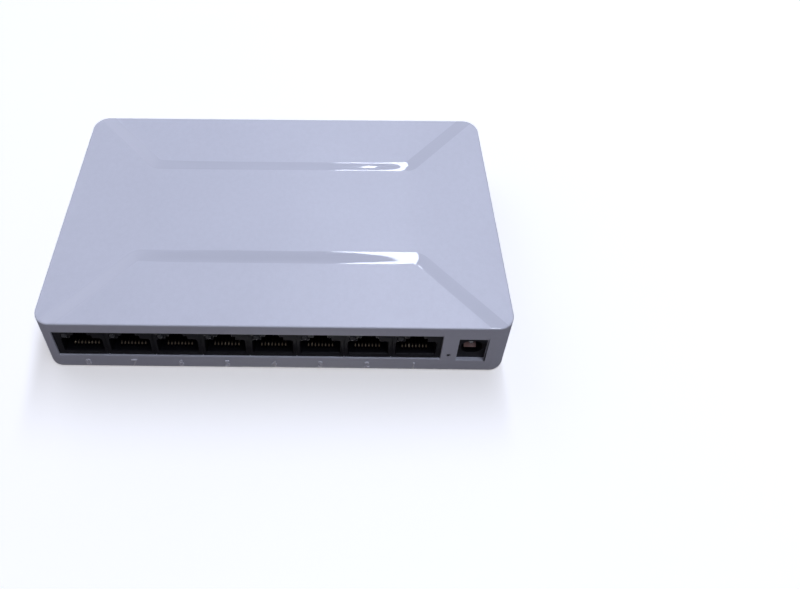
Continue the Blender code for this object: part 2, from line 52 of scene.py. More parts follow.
# ------------------------------------------------------------------ sizes, in millimetres
# Heights here are above the underside of the case, which stands ZERO above the feet's plane.
_cover_lo, _cover_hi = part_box("top_cover")
_jack_lo, _jack_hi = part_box("rj45_housing")
_plug_lo, _plug_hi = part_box("power_jack_housing")
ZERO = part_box("base_plate")[0].z / MM
HALF_W = _cover_hi.x / MM
HALF_D = _cover_hi.y / MM
CREST_RISE = 0.9
CASE_H = _cover_hi.z / MM - ZERO - CREST_RISE
CORNER_R = 5.0
WALL, ROOF = 2.0, 2.0
RIM_R = 0.45
FRONT_Y = -HALF_D
WALL_IN_Y = FRONT_Y + WALL
CREST_Y, TROUGH_Y, TROUGH_DROP = 15.7, 19.6, 0.44
CREST_DIAGONAL, TROUGH_DIAGONAL = 28.6, 22.7
PORT_PITCH, PORT_ROW_X = 13.97, -7.4
PORT_X = {8 - i: PORT_ROW_X + PORT_PITCH * (i - 3.5) for i in range(8)}
WINDOW_X, WINDOW_Z = (-64.4, 49.1), (6.35, 19.3)
POWER_WINDOW_X, POWER_WINDOW_Z = (53.8, 62.3), (5.8, 17.7)
PINHOLE_X, PINHOLE_Z = 51.4, 8.7
JACK_FACE_Y = _jack_lo.y / MM
JACK_BACK_Y = _jack_hi.y / MM
JACK_Z = (_jack_lo.z / MM - ZERO, _jack_hi.z / MM - ZERO)
POWER_X, POWER_Z = 58.05, 12.0
POWER_FACE_Y = _plug_lo.y / MM
JOINTS = {j["name"]: j for j in frame["joints"]}


# ------------------------------------------------------------------ mesh helpers
def link(name, mesh):
    made = bpy.data.objects.new(name, mesh)
    bpy.context.scene.collection.objects.link(made)
    return made


def mesh_from(name, bm, normals=True):
    if normals:
        bmesh.ops.recalc_face_normals(bm, faces=bm.faces[:])
    mesh = bpy.data.meshes.new(name)
    bm.to_mesh(mesh)
    bm.free()
    return mesh


def lift(x, y, z):
    """A point of the case's millimetre frame in world metres."""
    return Vector((x * MM, y * MM, (z + ZERO) * MM))


def add_box(bm, lo, hi):
    lo, hi = lift(*lo), lift(*hi)
    made = bmesh.ops.create_cube(bm, size=1.0, matrix=Matrix.Translation((lo + hi) / 2) @ Matrix.Diagonal((*(hi - lo), 1.0)))
    return made["verts"]


def add_cylinder(bm, radius, low, high, centre, axis="Z", sides=32, top_radius=None):
    turns = {"Z": Matrix.Identity(4), "Y": Matrix.Rotation(-math.pi / 2, 4, "X"), "X": Matrix.Rotation(math.pi / 2, 4, "Y")}
    middle = Vector(centre)
    middle["XYZ".index(axis)] = (low + high) / 2
    return bmesh.ops.create_cone(
        bm, cap_ends=True, segments=sides, radius1=radius * MM,
        radius2=(radius if top_radius is None else top_radius) * MM, depth=(high - low) * MM,
        matrix=Matrix.Translation(lift(*middle)) @ turns[axis],
    )["verts"]


def prism(bm, outline, low, high, axis="Z"):
    """An outline drawn in a plane and pulled along an axis. Along Y the outline is (x, z)."""
    def at(a, b, c):
        return lift(a, b, c) if axis == "Z" else lift(a, c, b)
    lows = [bm.verts.new(at(a, b, low)) for a, b in outline]
    highs = [bm.verts.new(at(a, b, high)) for a, b in outline]
    n = len(outline)
    bm.faces.new(lows)
    bm.faces.new(list(reversed(highs)))
    for i in range(n):
        bm.faces.new((lows[i], highs[i], highs[(i + 1) % n], lows[(i + 1) % n]))


def rounded(half_x, half_y, radius, steps, centre=(0, 0)):
    points = []
    for sx, sy, start in ((1, -1, -90), (1, 1, 0), (-1, 1, 90), (-1, -1, 180)):
        for k in range(steps + 1):
            turn = math.radians(start + 90 * k / steps)
            points.append((centre[0] + sx * (half_x - radius) + radius * math.cos(turn), centre[1] + sy * (half_y - radius) + radius * math.sin(turn)))
    return points


def bake(obj):
    """The object's modifiers made final."""
    graph = bpy.context.evaluated_depsgraph_get()
    mesh = bpy.data.meshes.new_from_object(obj.evaluated_get(graph), preserve_all_data_layers=True, depsgraph=graph)
    obj.modifiers.clear()
    obj.data = mesh
    return obj


def cut(obj, *cutters, operation="DIFFERENCE", solver="EXACT", keep=False):
    """The object with each cutter taken away from it, or joined to it."""
    for cutter in cutters:
        made = obj.modifiers.new("cut", "BOOLEAN")
        made.operation = operation
        made.solver = solver
        made.object = cutter
    bake(obj)
    for cutter in cutters:
        bpy.data.objects.remove(cutter, do_unlink=True)
    return obj


def soften(obj, width, segments=2, angle=40, weld=True):
    """Rounds every hard edge, as a moulding tool does."""
    if weld:
        bm = bmesh.new()
        bm.from_mesh(obj.data)
        bmesh.ops.remove_doubles(bm, verts=bm.verts[:], dist=2e-7)
        bmesh.ops.dissolve_degenerate(bm, edges=bm.edges[:], dist=2e-7)
        bm.to_mesh(obj.data)
        bm.free()
    made = obj.modifiers.new("edges", "BEVEL")
    made.width = width * MM
    made.segments = segments
    made.limit_method = "ANGLE"
    made.angle_limit = math.radians(angle)
    made.use_clamp_overlap = True
    made.harden_normals = False
    bake(obj)
    return obj


def tidy(obj, dist=1e-6):
    """Closes up corners that lie on each other and takes away any sliver or doubled face they leave."""
    bm = bmesh.new()
    bm.from_mesh(obj.data)
    bmesh.ops.remove_doubles(bm, verts=bm.verts[:], dist=dist)
    bmesh.ops.dissolve_degenerate(bm, edges=bm.edges[:], dist=dist)
    bmesh.ops.triangulate(bm, faces=[f for f in bm.faces if len(f.verts) > 4])
    bmesh.ops.dissolve_degenerate(bm, edges=bm.edges[:], dist=dist)
    seen, doubled = {}, set()
    for face in bm.faces:
        key = frozenset(v.index for v in face.verts)
        if key in seen:
            doubled |= {face, seen[key]}
        seen[key] = face
    bmesh.ops.delete(bm, geom=list(doubled), context="FACES")
    bmesh.ops.delete(bm, geom=[e for e in bm.edges if not e.link_faces], context="EDGES")
    bmesh.ops.delete(bm, geom=[v for v in bm.verts if not v.link_edges], context="VERTS")
    bm.to_mesh(obj.data)
    bm.free()
    return obj


def shade(obj, angle=35, weighted=True):
    obj.data.shade_smooth()
    obj.data.set_sharp_from_angle(angle=math.radians(angle))
    if weighted:
        made = obj.modifiers.new("flats", "WEIGHTED_NORMAL")
        made.mode = "FACE_AREA"
        made.weight = 60
        made.keep_sharp = True
    return obj


def dress(obj, body, slot, *looks):
    if looks:
        obj.data.materials.clear()
        for look in looks:
            obj.data.materials.append(look)
    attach(obj, body)
    return obj


def lathe(name, profile, at, axis="Z", steps=48, flip=False):
    """A turned solid. The profile runs (radius, height) from one pole to the other."""
    bm = bmesh.new()
    rings = []
    for r, h in profile:
        if r < 1e-6:
            rings.append([bm.verts.new((0, 0, h * MM))])
        else:
            rings.append([bm.verts.new((r * MM * math.cos(2 * math.pi * k / steps), r * MM * math.sin(2 * math.pi * k / steps), h * MM)) for k in range(steps)])
    for a, b in zip(rings, rings[1:]):
        for k in range(steps):
            m = (k + 1) % steps
            if len(a) == 1 and len(b) > 1:
                bm.faces.new((a[0], b[k], b[m]))
            elif len(b) == 1 and len(a) > 1:
                bm.faces.new((a[k], b[0], a[m]))
            elif len(a) > 1:
                bm.faces.new((a[k], b[k], b[m], a[m]))
    turn = {"Z": Matrix.Identity(4), "-Y": Matrix.Rotation(math.pi / 2, 4, "X"), "Y": Matrix.Rotation(-math.pi / 2, 4, "X")}[axis]
    bmesh.ops.transform(bm, matrix=Matrix.Translation(lift(*at)) @ turn, verts=bm.verts[:])
    return link(name, mesh_from(name, bm))


def arc(centre, radius, start, end, steps):
    return [(centre[0] + radius * math.cos(math.radians(start + (end - start) * k / steps)), centre[1] + radius * math.sin(math.radians(start + (end - start) * k / steps))) for k in range(steps + 1)]


def sweep(bm, path, half_w, half_t, corner=0.3):
    """A flat strip or wire swept along a path of (y, z) points at x = 0, with eased corners. Returns its vertices."""
    n = len(path)
    section = []
    cw, ct = half_w * corner, half_t * corner
    for a, b in ((half_w, half_t - ct), (half_w - cw, half_t), (-half_w + cw, half_t), (-half_w, half_t - ct), (-half_w, -half_t + ct), (-half_w + cw, -half_t), (half_w - cw, -half_t), (half_w, -half_t + ct)):
        section.append((a, b))
    rings, made = [], []
    for i, (y, z) in enumerate(path):
        before, after = path[max(i - 1, 0)], path[min(i + 1, n - 1)]
        dy, dz = after[0] - before[0], after[1] - before[1]
        length = math.hypot(dy, dz)
        ny, nz = -dz / length, dy / length
        ring = [bm.verts.new((a * MM, (y + b * ny) * MM, (z + b * nz) * MM)) for a, b in section]
        rings.append(ring)
        made += ring
    for a, b in zip(rings, rings[1:]):
        for k in range(8):
            bm.faces.new((a[k], a[(k + 1) % 8], b[(k + 1) % 8], b[k]))
    bm.faces.new(rings[0])
    bm.faces.new(list(reversed(rings[-1])))
    return made


# ------------------------------------------------------------------ material helpers
class Nodes:
    """Short calls for building one material's node tree."""

    def __init__(self, name):
        self.mat = bpy.data.materials.new(name)
        self.mat.use_nodes = True
        self.tree = self.mat.node_tree
        self.shader = self.tree.nodes["Principled BSDF"]
        self.coords = self.tree.nodes.new("ShaderNodeTexCoord").outputs["Object"]

    def set(self, **values):
        for key, value in values.items():
            socket = self.shader.inputs[key.replace("_", " ")]
            if isinstance(value, bpy.types.NodeSocket):
                self.tree.links.new(value, socket)
            elif isinstance(value, tuple) and len(value) == 3:
                socket.default_value = (*value, 1.0)
            else:
                socket.default_value = value
        return self

    def stretch(self, scale):
        node = self.tree.nodes.new("ShaderNodeMapping")
        node.inputs["Scale"].default_value = scale
        self.tree.links.new(self.coords, node.inputs["Vector"])
        return node.outputs["Vector"]

    def noise(self, size_mm, detail=2.0, rough=0.5, vector=None, distortion=0.0):
        node = self.tree.nodes.new("ShaderNodeTexNoise")
        node.inputs["Scale"].default_value = 1000.0 / size_mm
        node.inputs["Detail"].default_value = detail
        node.inputs["Roughness"].default_value = rough
        node.inputs["Distortion"].default_value = distortion
        self.tree.links.new(vector or self.coords, node.inputs["Vector"])
        return node.outputs["Fac"]

    def cells(self, size_mm, output="Distance"):
        node = self.tree.nodes.new("ShaderNodeTexVoronoi")
        node.inputs["Scale"].default_value = 1000.0 / size_mm
        self.tree.links.new(self.coords, node.inputs["Vector"])
        return node.outputs[output]

    def range(self, value, low, high, to_low=0.0, to_high=1.0):
        node = self.tree.nodes.new("ShaderNodeMapRange")
        self.tree.links.new(value, node.inputs["Value"])
        for key, number in (("From Min", low), ("From Max", high), ("To Min", to_low), ("To Max", to_high)):
            node.inputs[key].default_value = number
        return node.outputs["Result"]

    def maths(self, operation, a, b=None):
        node = self.tree.nodes.new("ShaderNodeMath")
        node.operation = operation
        for socket, value in zip(node.inputs, (a, b)):
            if value is None:
                continue
            if isinstance(value, bpy.types.NodeSocket):
                self.tree.links.new(value, socket)
            else:
                socket.default_value = value
        return node.outputs[0]

    def blend(self, factor, a, b):
        node = self.tree.nodes.new("ShaderNodeMix")
        node.data_type = "RGBA"
        if isinstance(factor, bpy.types.NodeSocket):
            self.tree.links.new(factor, node.inputs[0])
        else:
            node.inputs[0].default_value = factor
        for socket, value in ((node.inputs[6], a), (node.inputs[7], b)):
            if isinstance(value, bpy.types.NodeSocket):
                self.tree.links.new(value, socket)
            else:
                socket.default_value = (*value, 1.0)
        return node.outputs[2]

    def bump(self, height, strength, distance_mm, normal=None):
        node = self.tree.nodes.new("ShaderNodeBump")
        node.inputs["Strength"].default_value = strength
        node.inputs["Distance"].default_value = distance_mm * MM
        self.tree.links.new(height, node.inputs["Height"])
        if normal is not None:
            self.tree.links.new(normal, node.inputs["Normal"])
        return node.outputs["Normal"]

    def edges(self, low=0.52, high=0.62):
        """1 on worn outside edges, from how sharply the surface turns."""
        node = self.tree.nodes.new("ShaderNodeNewGeometry")
        return self.range(node.outputs["Pointiness"], low, high)


def tint(colour, factor):
    return tuple(min(1.0, c * factor) for c in colour)


def moulded(name, colour, roughness, grain_mm=0.35, grain=0.25, depth_mm=0.02, spread=0.06, wear=0.3, ior=1.5, coat=0.0, shine=0.5):
    """Moulded plastic: spark-eroded grain, a slow wander of tone and gloss, and edges rubbed a little smoother."""
    n = Nodes(name)
    slow = n.noise(38.0, 3.0, 0.55)
    fine = n.noise(grain_mm, 2.0, 0.6)
    coarse = n.noise(grain_mm * 3.1, 2.0, 0.5)
    tone = n.blend(n.range(slow, 0.3, 0.7), tint(colour, 1 - spread), tint(colour, 1 + spread * 0.6))
    speck = n.range(fine, 0.35, 0.65)
    tone = n.blend(n.maths("MULTIPLY", speck, 0.10), tone, tint(colour, 0.82))
    mottle = n.range(n.noise(1.6, 2.0, 0.6), 0.35, 0.65)
    tone = n.blend(n.maths("MULTIPLY", mottle, 0.16), tone, tint(colour, 0.84))
    edge = n.edges()
    tone = n.blend(n.maths("MULTIPLY", edge, wear * 0.5), tone, tint(colour, 1.12))
    gloss = n.range(n.maths("ADD", n.maths("MULTIPLY", slow, 0.5), n.maths("MULTIPLY", fine, 0.5)), 0.3, 0.7, roughness + 0.05, roughness - 0.05)
    gloss = n.maths("SUBTRACT", gloss, n.maths("MULTIPLY", edge, 0.10 * wear))
    height = n.maths("ADD", fine, n.maths("MULTIPLY", coarse, 0.7))
    n.set(Base_Color=tone, Roughness=gloss, Normal=n.bump(height, grain, depth_mm), IOR=ior, Specular_IOR_Level=shine)
    if coat:
        n.set(Coat_Weight=coat, Coat_Roughness=0.15)
    return n.mat


def polished(name, colour, roughness=0.015):
    """The same plastic off a polished face of the tool: long shallow waves, the faintest hairlines, and no grain."""
    n = Nodes(name)
    slow = n.noise(30.0, 2.0, 0.5)
    hair = n.noise(0.5, 3.0, 0.6, n.stretch((0.03, 1.0, 1.0)))
    tone = n.blend(n.range(slow, 0.3, 0.7), tint(colour, 0.98), tint(colour, 1.02))
    # from x = -40 mm to -50 mm the polished band fades to a 1.4 % paler tone, painted light that evens out the darker
    # reflection of the left diagonals
    place = n.tree.nodes.new("ShaderNodeSeparateXYZ")
    n.tree.links.new(n.coords, place.inputs[0])
    tone = n.blend(n.range(place.outputs["X"], -0.050, -0.040), tint(colour, 1.014), tone)
    gloss = n.range(hair, 0.35, 0.75, roughness, roughness + 0.05)
    wave = n.noise(9.0, 1.0, 0.4)
    n.set(Base_Color=tone, Roughness=gloss, Normal=n.bump(wave, 0.10, 0.006), IOR=1.5, Specular_IOR_Level=0.75)
    return n.mat


def metal(name, colour, roughness, grain_mm=0.4, direction=(1, 1, 1), stain=None, depth_mm=0.008):
    n = Nodes(name)
    brushed = n.noise(grain_mm, 4.0, 0.65, n.stretch(direction))
    slow = n.noise(2.5, 3.0, 0.6)
    tone = n.blend(n.range(slow, 0.35, 0.75), colour, stain or tint(colour, 0.72))
    gloss = n.range(brushed, 0.3, 0.7, roughness - 0.06, roughness + 0.12)
    n.set(Base_Color=tone, Metallic=1.0, Roughness=gloss, Normal=n.bump(brushed, 0.25, depth_mm))
    return n.mat


COOL_WHITE = (0.66, 0.67, 0.75)
LOOK = {
    "matte": moulded("cover_matte", COOL_WHITE, 0.40, grain_mm=0.34, grain=0.45, depth_mm=0.03, spread=0.02, shine=0.38),
    "polish": polished("cover_polished", tint(COOL_WHITE, 0.965)),
    # the port numbers are painted paler than the cover, a painted highlight for their lit top edges, and their edges
    # are also rubbed
    "digit": moulded("digit_rubbed_painted_highlight", (0.86, 0.86, 0.92), 0.30, grain_mm=0.4, grain=0.1, spread=0.02, wear=0.8),
    "inside": moulded("cover_inside", tint(COOL_WHITE, 0.9), 0.45, grain_mm=0.8, grain=0.1, spread=0.03, wear=0.0),
    "base": moulded("base_matte", (0.63, 0.64, 0.70), 0.58, grain_mm=0.5, grain=0.5, depth_mm=0.04, spread=0.03),
    "jack": moulded("jack_black", (0.005, 0.0047, 0.0068), 0.45, grain_mm=0.5, grain=0.3, depth_mm=0.015, spread=0.25, wear=0.6, shine=0.22),
    "rubber": moulded("foot_rubber", (0.045, 0.045, 0.048), 0.82, grain_mm=0.5, grain=0.6, depth_mm=0.05, spread=0.2, wear=0.5),
    "copper": metal("leaf_copper", (0.50, 0.34, 0.31), 0.34, 0.3, (1, 0.2, 1), stain=(0.34, 0.20, 0.17)),
    "nickel": metal("pin_nickel", (0.78, 0.77, 0.74), 0.22, 0.3),
    "steel": metal("screw_zinc", (0.62, 0.63, 0.66), 0.30, 0.3, stain=(0.40, 0.41, 0.46)),
    "package": moulded("chip_epoxy", (0.022, 0.022, 0.024), 0.52, grain_mm=0.3, grain=0.5, depth_mm=0.02, spread=0.1),
    "anodised": metal("sink_black", (0.05, 0.05, 0.055), 0.42, 0.4, (0.2, 1, 1)),
    "ferrite": moulded("inductor_ferrite", (0.06, 0.055, 0.05), 0.65, grain_mm=0.4, grain=0.8, depth_mm=0.05),
    "sleeve": moulded("capacitor_sleeve", (0.02, 0.03, 0.08), 0.25, grain_mm=1.2, grain=0.15),
}


def contact_look():
    """Gold plate with a slow stain, bright on the rounded front bends and painted nearly black further in, a painted
    shade for the dim inside of the socket.
    """
    n = Nodes("contact_gold")
    place = n.tree.nodes.new("ShaderNodeSeparateXYZ")
    n.tree.links.new(n.coords, place.inputs[0])
    bend_y = (JOINTS["port_1_contacts_flex"]["pos_m"][1] / MM + 0.1) * MM
    # behind the front bend the gold fades to near black: painted shade for the dim inside of the socket
    inner = n.range(place.outputs["Y"], bend_y - 0.25 * MM, bend_y + 0.35 * MM)
    stain = n.range(n.noise(0.8, 3.0, 0.6), 0.35, 0.75)
    tone = n.blend(stain, (0.50, 0.43, 0.33), (0.36, 0.29, 0.20))
    tone = n.blend(inner, tone, (0.045, 0.034, 0.020))
    brushed = n.noise(0.15, 4.0, 0.65, n.stretch((1, 0.2, 1)))
    n.set(Base_Color=tone, Metallic=1.0, Roughness=n.range(brushed, 0.3, 0.7, 0.24, 0.44), Normal=n.bump(brushed, 0.25, 0.008))
    return n.mat


def lens_look():
    """Clear epoxy with a faint milky body, as an unlit light looks."""
    n = Nodes("light_lens")
    swirl = n.noise(0.9, 2.0, 0.5)
    tone = n.blend(n.range(swirl, 0.3, 0.7), (0.020, 0.022, 0.024), (0.040, 0.042, 0.042))
    n.set(Base_Color=tone, Roughness=n.range(swirl, 0.3, 0.7, 0.10, 0.18), IOR=1.54, Coat_Weight=0.5, Coat_Roughness=0.04)
    n.set(Normal=n.bump(swirl, 0.1, 0.01))
    return n.mat


def laminate_look():
    """Green solder mask over woven glass, with copper pours showing through as a slightly paler green."""
    n = Nodes("board_mask")
    weave = n.cells(0.7)
    pour = n.range(n.noise(9.0, 2.0, 0.5), 0.48, 0.52)
    tone = n.blend(pour, (0.012, 0.10, 0.045), (0.02, 0.16, 0.07))
    tone = n.blend(n.maths("MULTIPLY", weave, 0.25), tone, (0.03, 0.22, 0.10))
    n.set(Base_Color=tone, Roughness=n.range(weave, 0.0, 0.6, 0.28, 0.42), Normal=n.bump(weave, 0.2, 0.02))
    return n.mat


LOOK["gold"] = contact_look()
LOOK["lens"] = lens_look()
LOOK["board"] = laminate_look()

# ------------------------------------------------------------------ top cover
RIM_X, RIM_Y = HALF_W - RIM_R, HALF_D - RIM_R
RIM_TURN_R = CORNER_R - RIM_R
CREST_X, TROUGH_X = CREST_Y + CREST_DIAGONAL, TROUGH_Y + TROUGH_DIAGONAL
STEP_DEEP = 0.56
ROWS = 14
_corner = Vector((HALF_W - CORNER_R, HALF_D - CORNER_R))
_shift = CREST_DIAGONAL - (_corner.x - _corner.y)
_up = (math.sqrt(2 * RIM_TURN_R**2 - _shift**2) - _shift) / 2
CREST_TURN = math.degrees(math.atan2(_up, _up + _shift))
TROUGH_RIM_X = RIM_Y + TROUGH_DIAGONAL


def quarter_stations():
    """The ring's points in one quarter, from the side round to the strip's outer edge: ("turn", degrees) or ("x", millimetres)."""
    stations = [("turn", 4.5 * k) for k in range(21) if 4.5 * k < CREST_TURN - 1.5] + [("turn", CREST_TURN)]
    round_part = math.radians(90 - CREST_TURN) * RIM_TURN_R
    whole = round_part + _corner.x - TROUGH_RIM_X
    for k in range(1, ROWS + 1):
        run = whole * k / ROWS
        stations.append(("turn", CREST_TURN + math.degrees(run / RIM_TURN_R)) if run < round_part else ("x", _corner.x - (run - round_part)))
    return stations


STATIONS = quarter_stations()
CREST_STATION = len(STATIONS) - 1 - ROWS


def case_loop(inset):
    """One level ring of the case's plan, always with the same stations, so rings loft cleanly."""
    radius = CORNER_R - inset
    ring = []
    for sx, sy in ((1, -1), (1, 1), (-1, 1), (-1, -1)):
        for kind, value in STATIONS if sx * sy > 0 else reversed(STATIONS):
            if kind == "turn":
                x, y = _corner.x + radius * math.cos(math.radians(value)), _corner.y + radius * math.sin(math.radians(value))
            else:
                x, y = value, HALF_D - inset
            ring.append((sx * x, sy * y))
    return ring


def ring_index(sx, sy, station):
    """Where a quarter's station stands in the ring."""
    n = len(STATIONS)
    quarter = ((1, -1), (1, 1), (-1, 1), (-1, -1)).index((sx, sy))
    return quarter * n + (station if sx * sy > 0 else n - 1 - station)


def ogee(s):
    """The strip's cross-section: level at both edges and steepest in the middle."""
    s = min(max(s, 0.0), 1.0)
    return s * s * (3 - 2 * s)


def soft_min(a, b, k):
    h = max(k - abs(a - b), 0.0) / k
    return min(a, b) - h * h * k / 4


def crest_z(x):
    """The raised centre: flat between the bends, then falling gently to the side rims."""
    return CASE_H + CREST_RISE * soft_min((RIM_X - abs(x)) / (RIM_X - CREST_X), 1.0, 0.12)


def step_z(x):
    """How far the strip drops: nearly level along its run, and fading to nothing at the bends."""
    return STEP_DEEP * (1 - min(abs(x) / TROUGH_X, 1.0) ** 6)


def facet_z(x, y):
    """The front and rear facets, ruled from the strip's outer edge to the rim."""
    x, y = abs(x), abs(y)
    if x <= TROUGH_X:
        line_y, line_z = TROUGH_Y, crest_z(x) - step_z(x)
    else:
        line_y, line_z = x - TROUGH_DIAGONAL, crest_z(x + 2.0)
    return CASE_H + (line_z - CASE_H) * min((RIM_Y - y) / max(RIM_Y - line_y, 0.2), 1.0)


def crease_line(y0, diagonal, fillet, rim, counts):
    """Half of a crease from the middle to the rim, at y > 0 and x > 0, with its bend rounded."""
    straight, bend, slope = counts
    corner = Vector((y0 + diagonal, y0))
    rim = Vector(rim)
    way = (rim - corner).normalized()
    turn = math.atan2(way.y, way.x)
    tangent = fillet * math.tan(turn / 2)
    start, end = corner - Vector((tangent, 0)), corner + way * tangent
    line = [Vector((start.x * k / straight, y0)) for k in range(straight)]
    centre = start + Vector((0, fillet))
    line += [centre + fillet * Vector((math.sin(turn * k / bend), -math.cos(turn * k / bend))) for k in range(bend)]
    line += [end.lerp(rim, k / slope) for k in range(slope + 1)]
    return line


def inside(polygon, x, y):
    hit = False
    for a, b in zip(polygon, polygon[1:] + polygon[:1]):
        if (a.y > y) != (b.y > y) and x < (b.x - a.x) * (y - a.y) / (b.y - a.y) + a.x:
            hit = not hit
    return hit


def build_cover():
    bm = bmesh.new()
    ring = [Vector(p) for p in case_loop(RIM_R)]
    points, heights = list(ring), [CASE_H] * len(ring)
    edges = [(i, (i + 1) % len(ring)) for i in range(len(ring))]
    counts = (40, 12, 24)
    polygons, grids = [], []
    for sy in (1, -1):
        inner_half = crease_line(CREST_Y, CREST_DIAGONAL, 6.0, ring[ring_index(1, 1, CREST_STATION)], counts)
        outer_half = crease_line(TROUGH_Y, TROUGH_DIAGONAL, 2.0, ring[ring_index(1, 1, len(STATIONS) - 1)], counts)
        inner = [Vector((-p.x, p.y * sy)) for p in reversed(inner_half[1:])] + [Vector((p.x, p.y * sy)) for p in inner_half]
        outer = [Vector((-p.x, p.y * sy)) for p in reversed(outer_half[1:])] + [Vector((p.x, p.y * sy)) for p in outer_half]
        last = len(inner) - 1
        grid = []
        for i, (a, b) in enumerate(zip(inner, outer)):
            column = []
            for row in range(ROWS + 1):
                if i in (0, last):
                    column.append(ring_index(-1 if i == 0 else 1, sy, CREST_STATION + row))
                    continue
                p = a.lerp(b, row / ROWS)
                top = crest_z(a.x)
                points.append(p)
                heights.append(top - (step_z(b.x) if abs(b.x) < TROUGH_X else 0.0) * ogee(row / ROWS))
                column.append(len(points) - 1)
            grid.append(column)
        for row in (0, ROWS):
            edges += [(a[row], b[row]) for a, b in zip(grid, grid[1:])]
        polygons.append([points[c[0]] for c in grid] + [points[i] for i in grid[-1][1:-1]] + [points[c[-1]] for c in reversed(grid)] + [points[i] for i in reversed(grid[0][1:-1])])
        grids.append(grid)
    loose = len(points)
    step = 2.6
    nx, ny = int(RIM_X / step), int(RIM_Y / step)
    for i in range(-nx, nx + 1):
        for j in range(-ny, ny + 1):
            x, y = i * step, j * step
            ax, ay = abs(x), abs(y)
            if ax > RIM_X - 1.0 or ay > RIM_Y - 1.0 or math.hypot(max(ax - _corner.x, 0), max(ay - _corner.y, 0)) > RIM_TURN_R - 1.0:
                continue
            centre = (CREST_Y - ay if ax <= CREST_X else (ax - ay - CREST_DIAGONAL) / math.sqrt(2))
            facet = (ay - TROUGH_Y if ax <= TROUGH_X else (TROUGH_DIAGONAL - (ax - ay)) / math.sqrt(2))
            if centre > 0.9:
                points.append(Vector((x, y)))
                heights.append(crest_z(x))
            elif facet > 0.9:
                points.append(Vector((x, y)))
                heights.append(facet_z(x, y))
    border = [i for i in range(len(points)) if i < len(ring) or i >= loose or any(i in (c[0], c[-1]) for g in grids for c in g)]
    short = {old: new for new, old in enumerate(border)}
    verts, _, faces, origin, _, _ = delaunay_2d_cdt([points[i] for i in border], [(short[a], short[b]) for a, b in edges], [], 0, 1e-5)
    made = [bm.verts.new(lift(p.x, p.y, h)) for p, h in zip(points, heights)]
    back_to = {}
    for i, group in enumerate(origin):
        back_to[i] = border[group[0]] if group else None
    for face in faces:
        cx = sum(verts[i].x for i in face) / len(face)
        cy = sum(verts[i].y for i in face) / len(face)
        if any(inside(polygon, cx, cy) for polygon in polygons):
            continue
        corners = [back_to[i] for i in face]
        if None in corners or len(set(corners)) < 3:
            continue
        bm.faces.new([made[i] for i in corners])
    for sy, grid in zip((1, -1), grids):
        for a, b in zip(grid, grid[1:]):
            for row in range(ROWS):
                quad = [made[i] for i in (a[row], a[row + 1], b[row + 1], b[row])]
                f = bm.faces.new(quad)
                f.material_index = 1
    levels = [(RIM_R * (1 - math.sin(math.radians(a))), CASE_H - RIM_R * (1 - math.cos(math.radians(a)))) for a in (18, 36, 54, 72, 90)]
    levels += [(0, CASE_H - 1.2), (0, 20.6), (0, 5.0), (0, 1.0), (0, 0.3), (0.09, 0.09), (0.3, 0.0), (WALL - 0.25, 0.0), (WALL - 0.07, 0.07), (WALL, 0.25), (WALL, 1.0), (WALL, CASE_H - ROOF - 0.6), (WALL + 0.6, CASE_H - ROOF)]
    previous = made[:len(ring)]
    band = {ring_index(sx, sy, station + (0 if sx * sy > 0 else 1)) for sx in (1, -1) for sy in (1, -1) for station in range(CREST_STATION, len(STATIONS) - 1)}
    for k, (inset, z) in enumerate(levels):
        loop = [bm.verts.new(lift(x, y, z)) for x, y in case_loop(inset)]
        for i in range(len(loop)):
            j = (i + 1) % len(loop)
            f = bm.faces.new((previous[i], previous[j], loop[j], loop[i]))
            f.material_index = 2 if k > 12 else 1 if k < 5 and i in band else 0
        previous = loop
    f = bm.faces.new(previous)
    f.material_index = 2
    bmesh.ops.delete(bm, geom=[v for v in bm.verts if not v.link_faces], context="VERTS")
    cover = link("top_cover_shell", mesh_from("top_cover_shell", bm))
    for look in ("matte", "polish", "inside"):
        cover.data.materials.append(LOOK[look])

    bm = bmesh.new()
    add_box(bm, (WINDOW_X[0], FRONT_Y - 1, WINDOW_Z[0]), (WINDOW_X[1], WALL_IN_Y + 1, WINDOW_Z[1]))
    add_box(bm, (POWER_WINDOW_X[0], FRONT_Y - 1, POWER_WINDOW_Z[0]), (POWER_WINDOW_X[1], WALL_IN_Y + 1, POWER_WINDOW_Z[1]))
    add_cylinder(bm, 0.62, FRONT_Y - 1, WALL_IN_Y + 1, (PINHOLE_X, 0, PINHOLE_Z), "Y", 32)
    for sx in (-1, 1):
        x = sorted((sx * (HALF_W - WALL - 0.5), sx * (HALF_W - WALL + 0.9)))
        add_box(bm, (x[0], -21.0, 7.4), (x[1], -11.0, 9.6))
    cut(cover, link("windows", mesh_from("windows", bm)))
    return cover


cover = build_cover()
bm = bmesh.new()
for sx in (-1, 1):
    add_cylinder(bm, 3.3, 4.5, CASE_H - ROOF + 0.6, (sx * 45.0, 31.0, 0), "Z", 32)
bosses = link("bosses", mesh_from("bosses", bm))
bosses.data.materials.append(LOOK["inside"])
cut(cover, bosses, operation="UNION")
bm = bmesh.new()
for sx in (-1, 1):
    add_cylinder(bm, 1.65, 4.0, 15.0, (sx * 45.0, 31.0, 0), "Z", 32)
cut(cover, link("bores", mesh_from("bores", bm)))
soften(cover, 0.14, 2, 50)
shade(cover, 40)
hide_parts("top_cover")
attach(cover, "case")


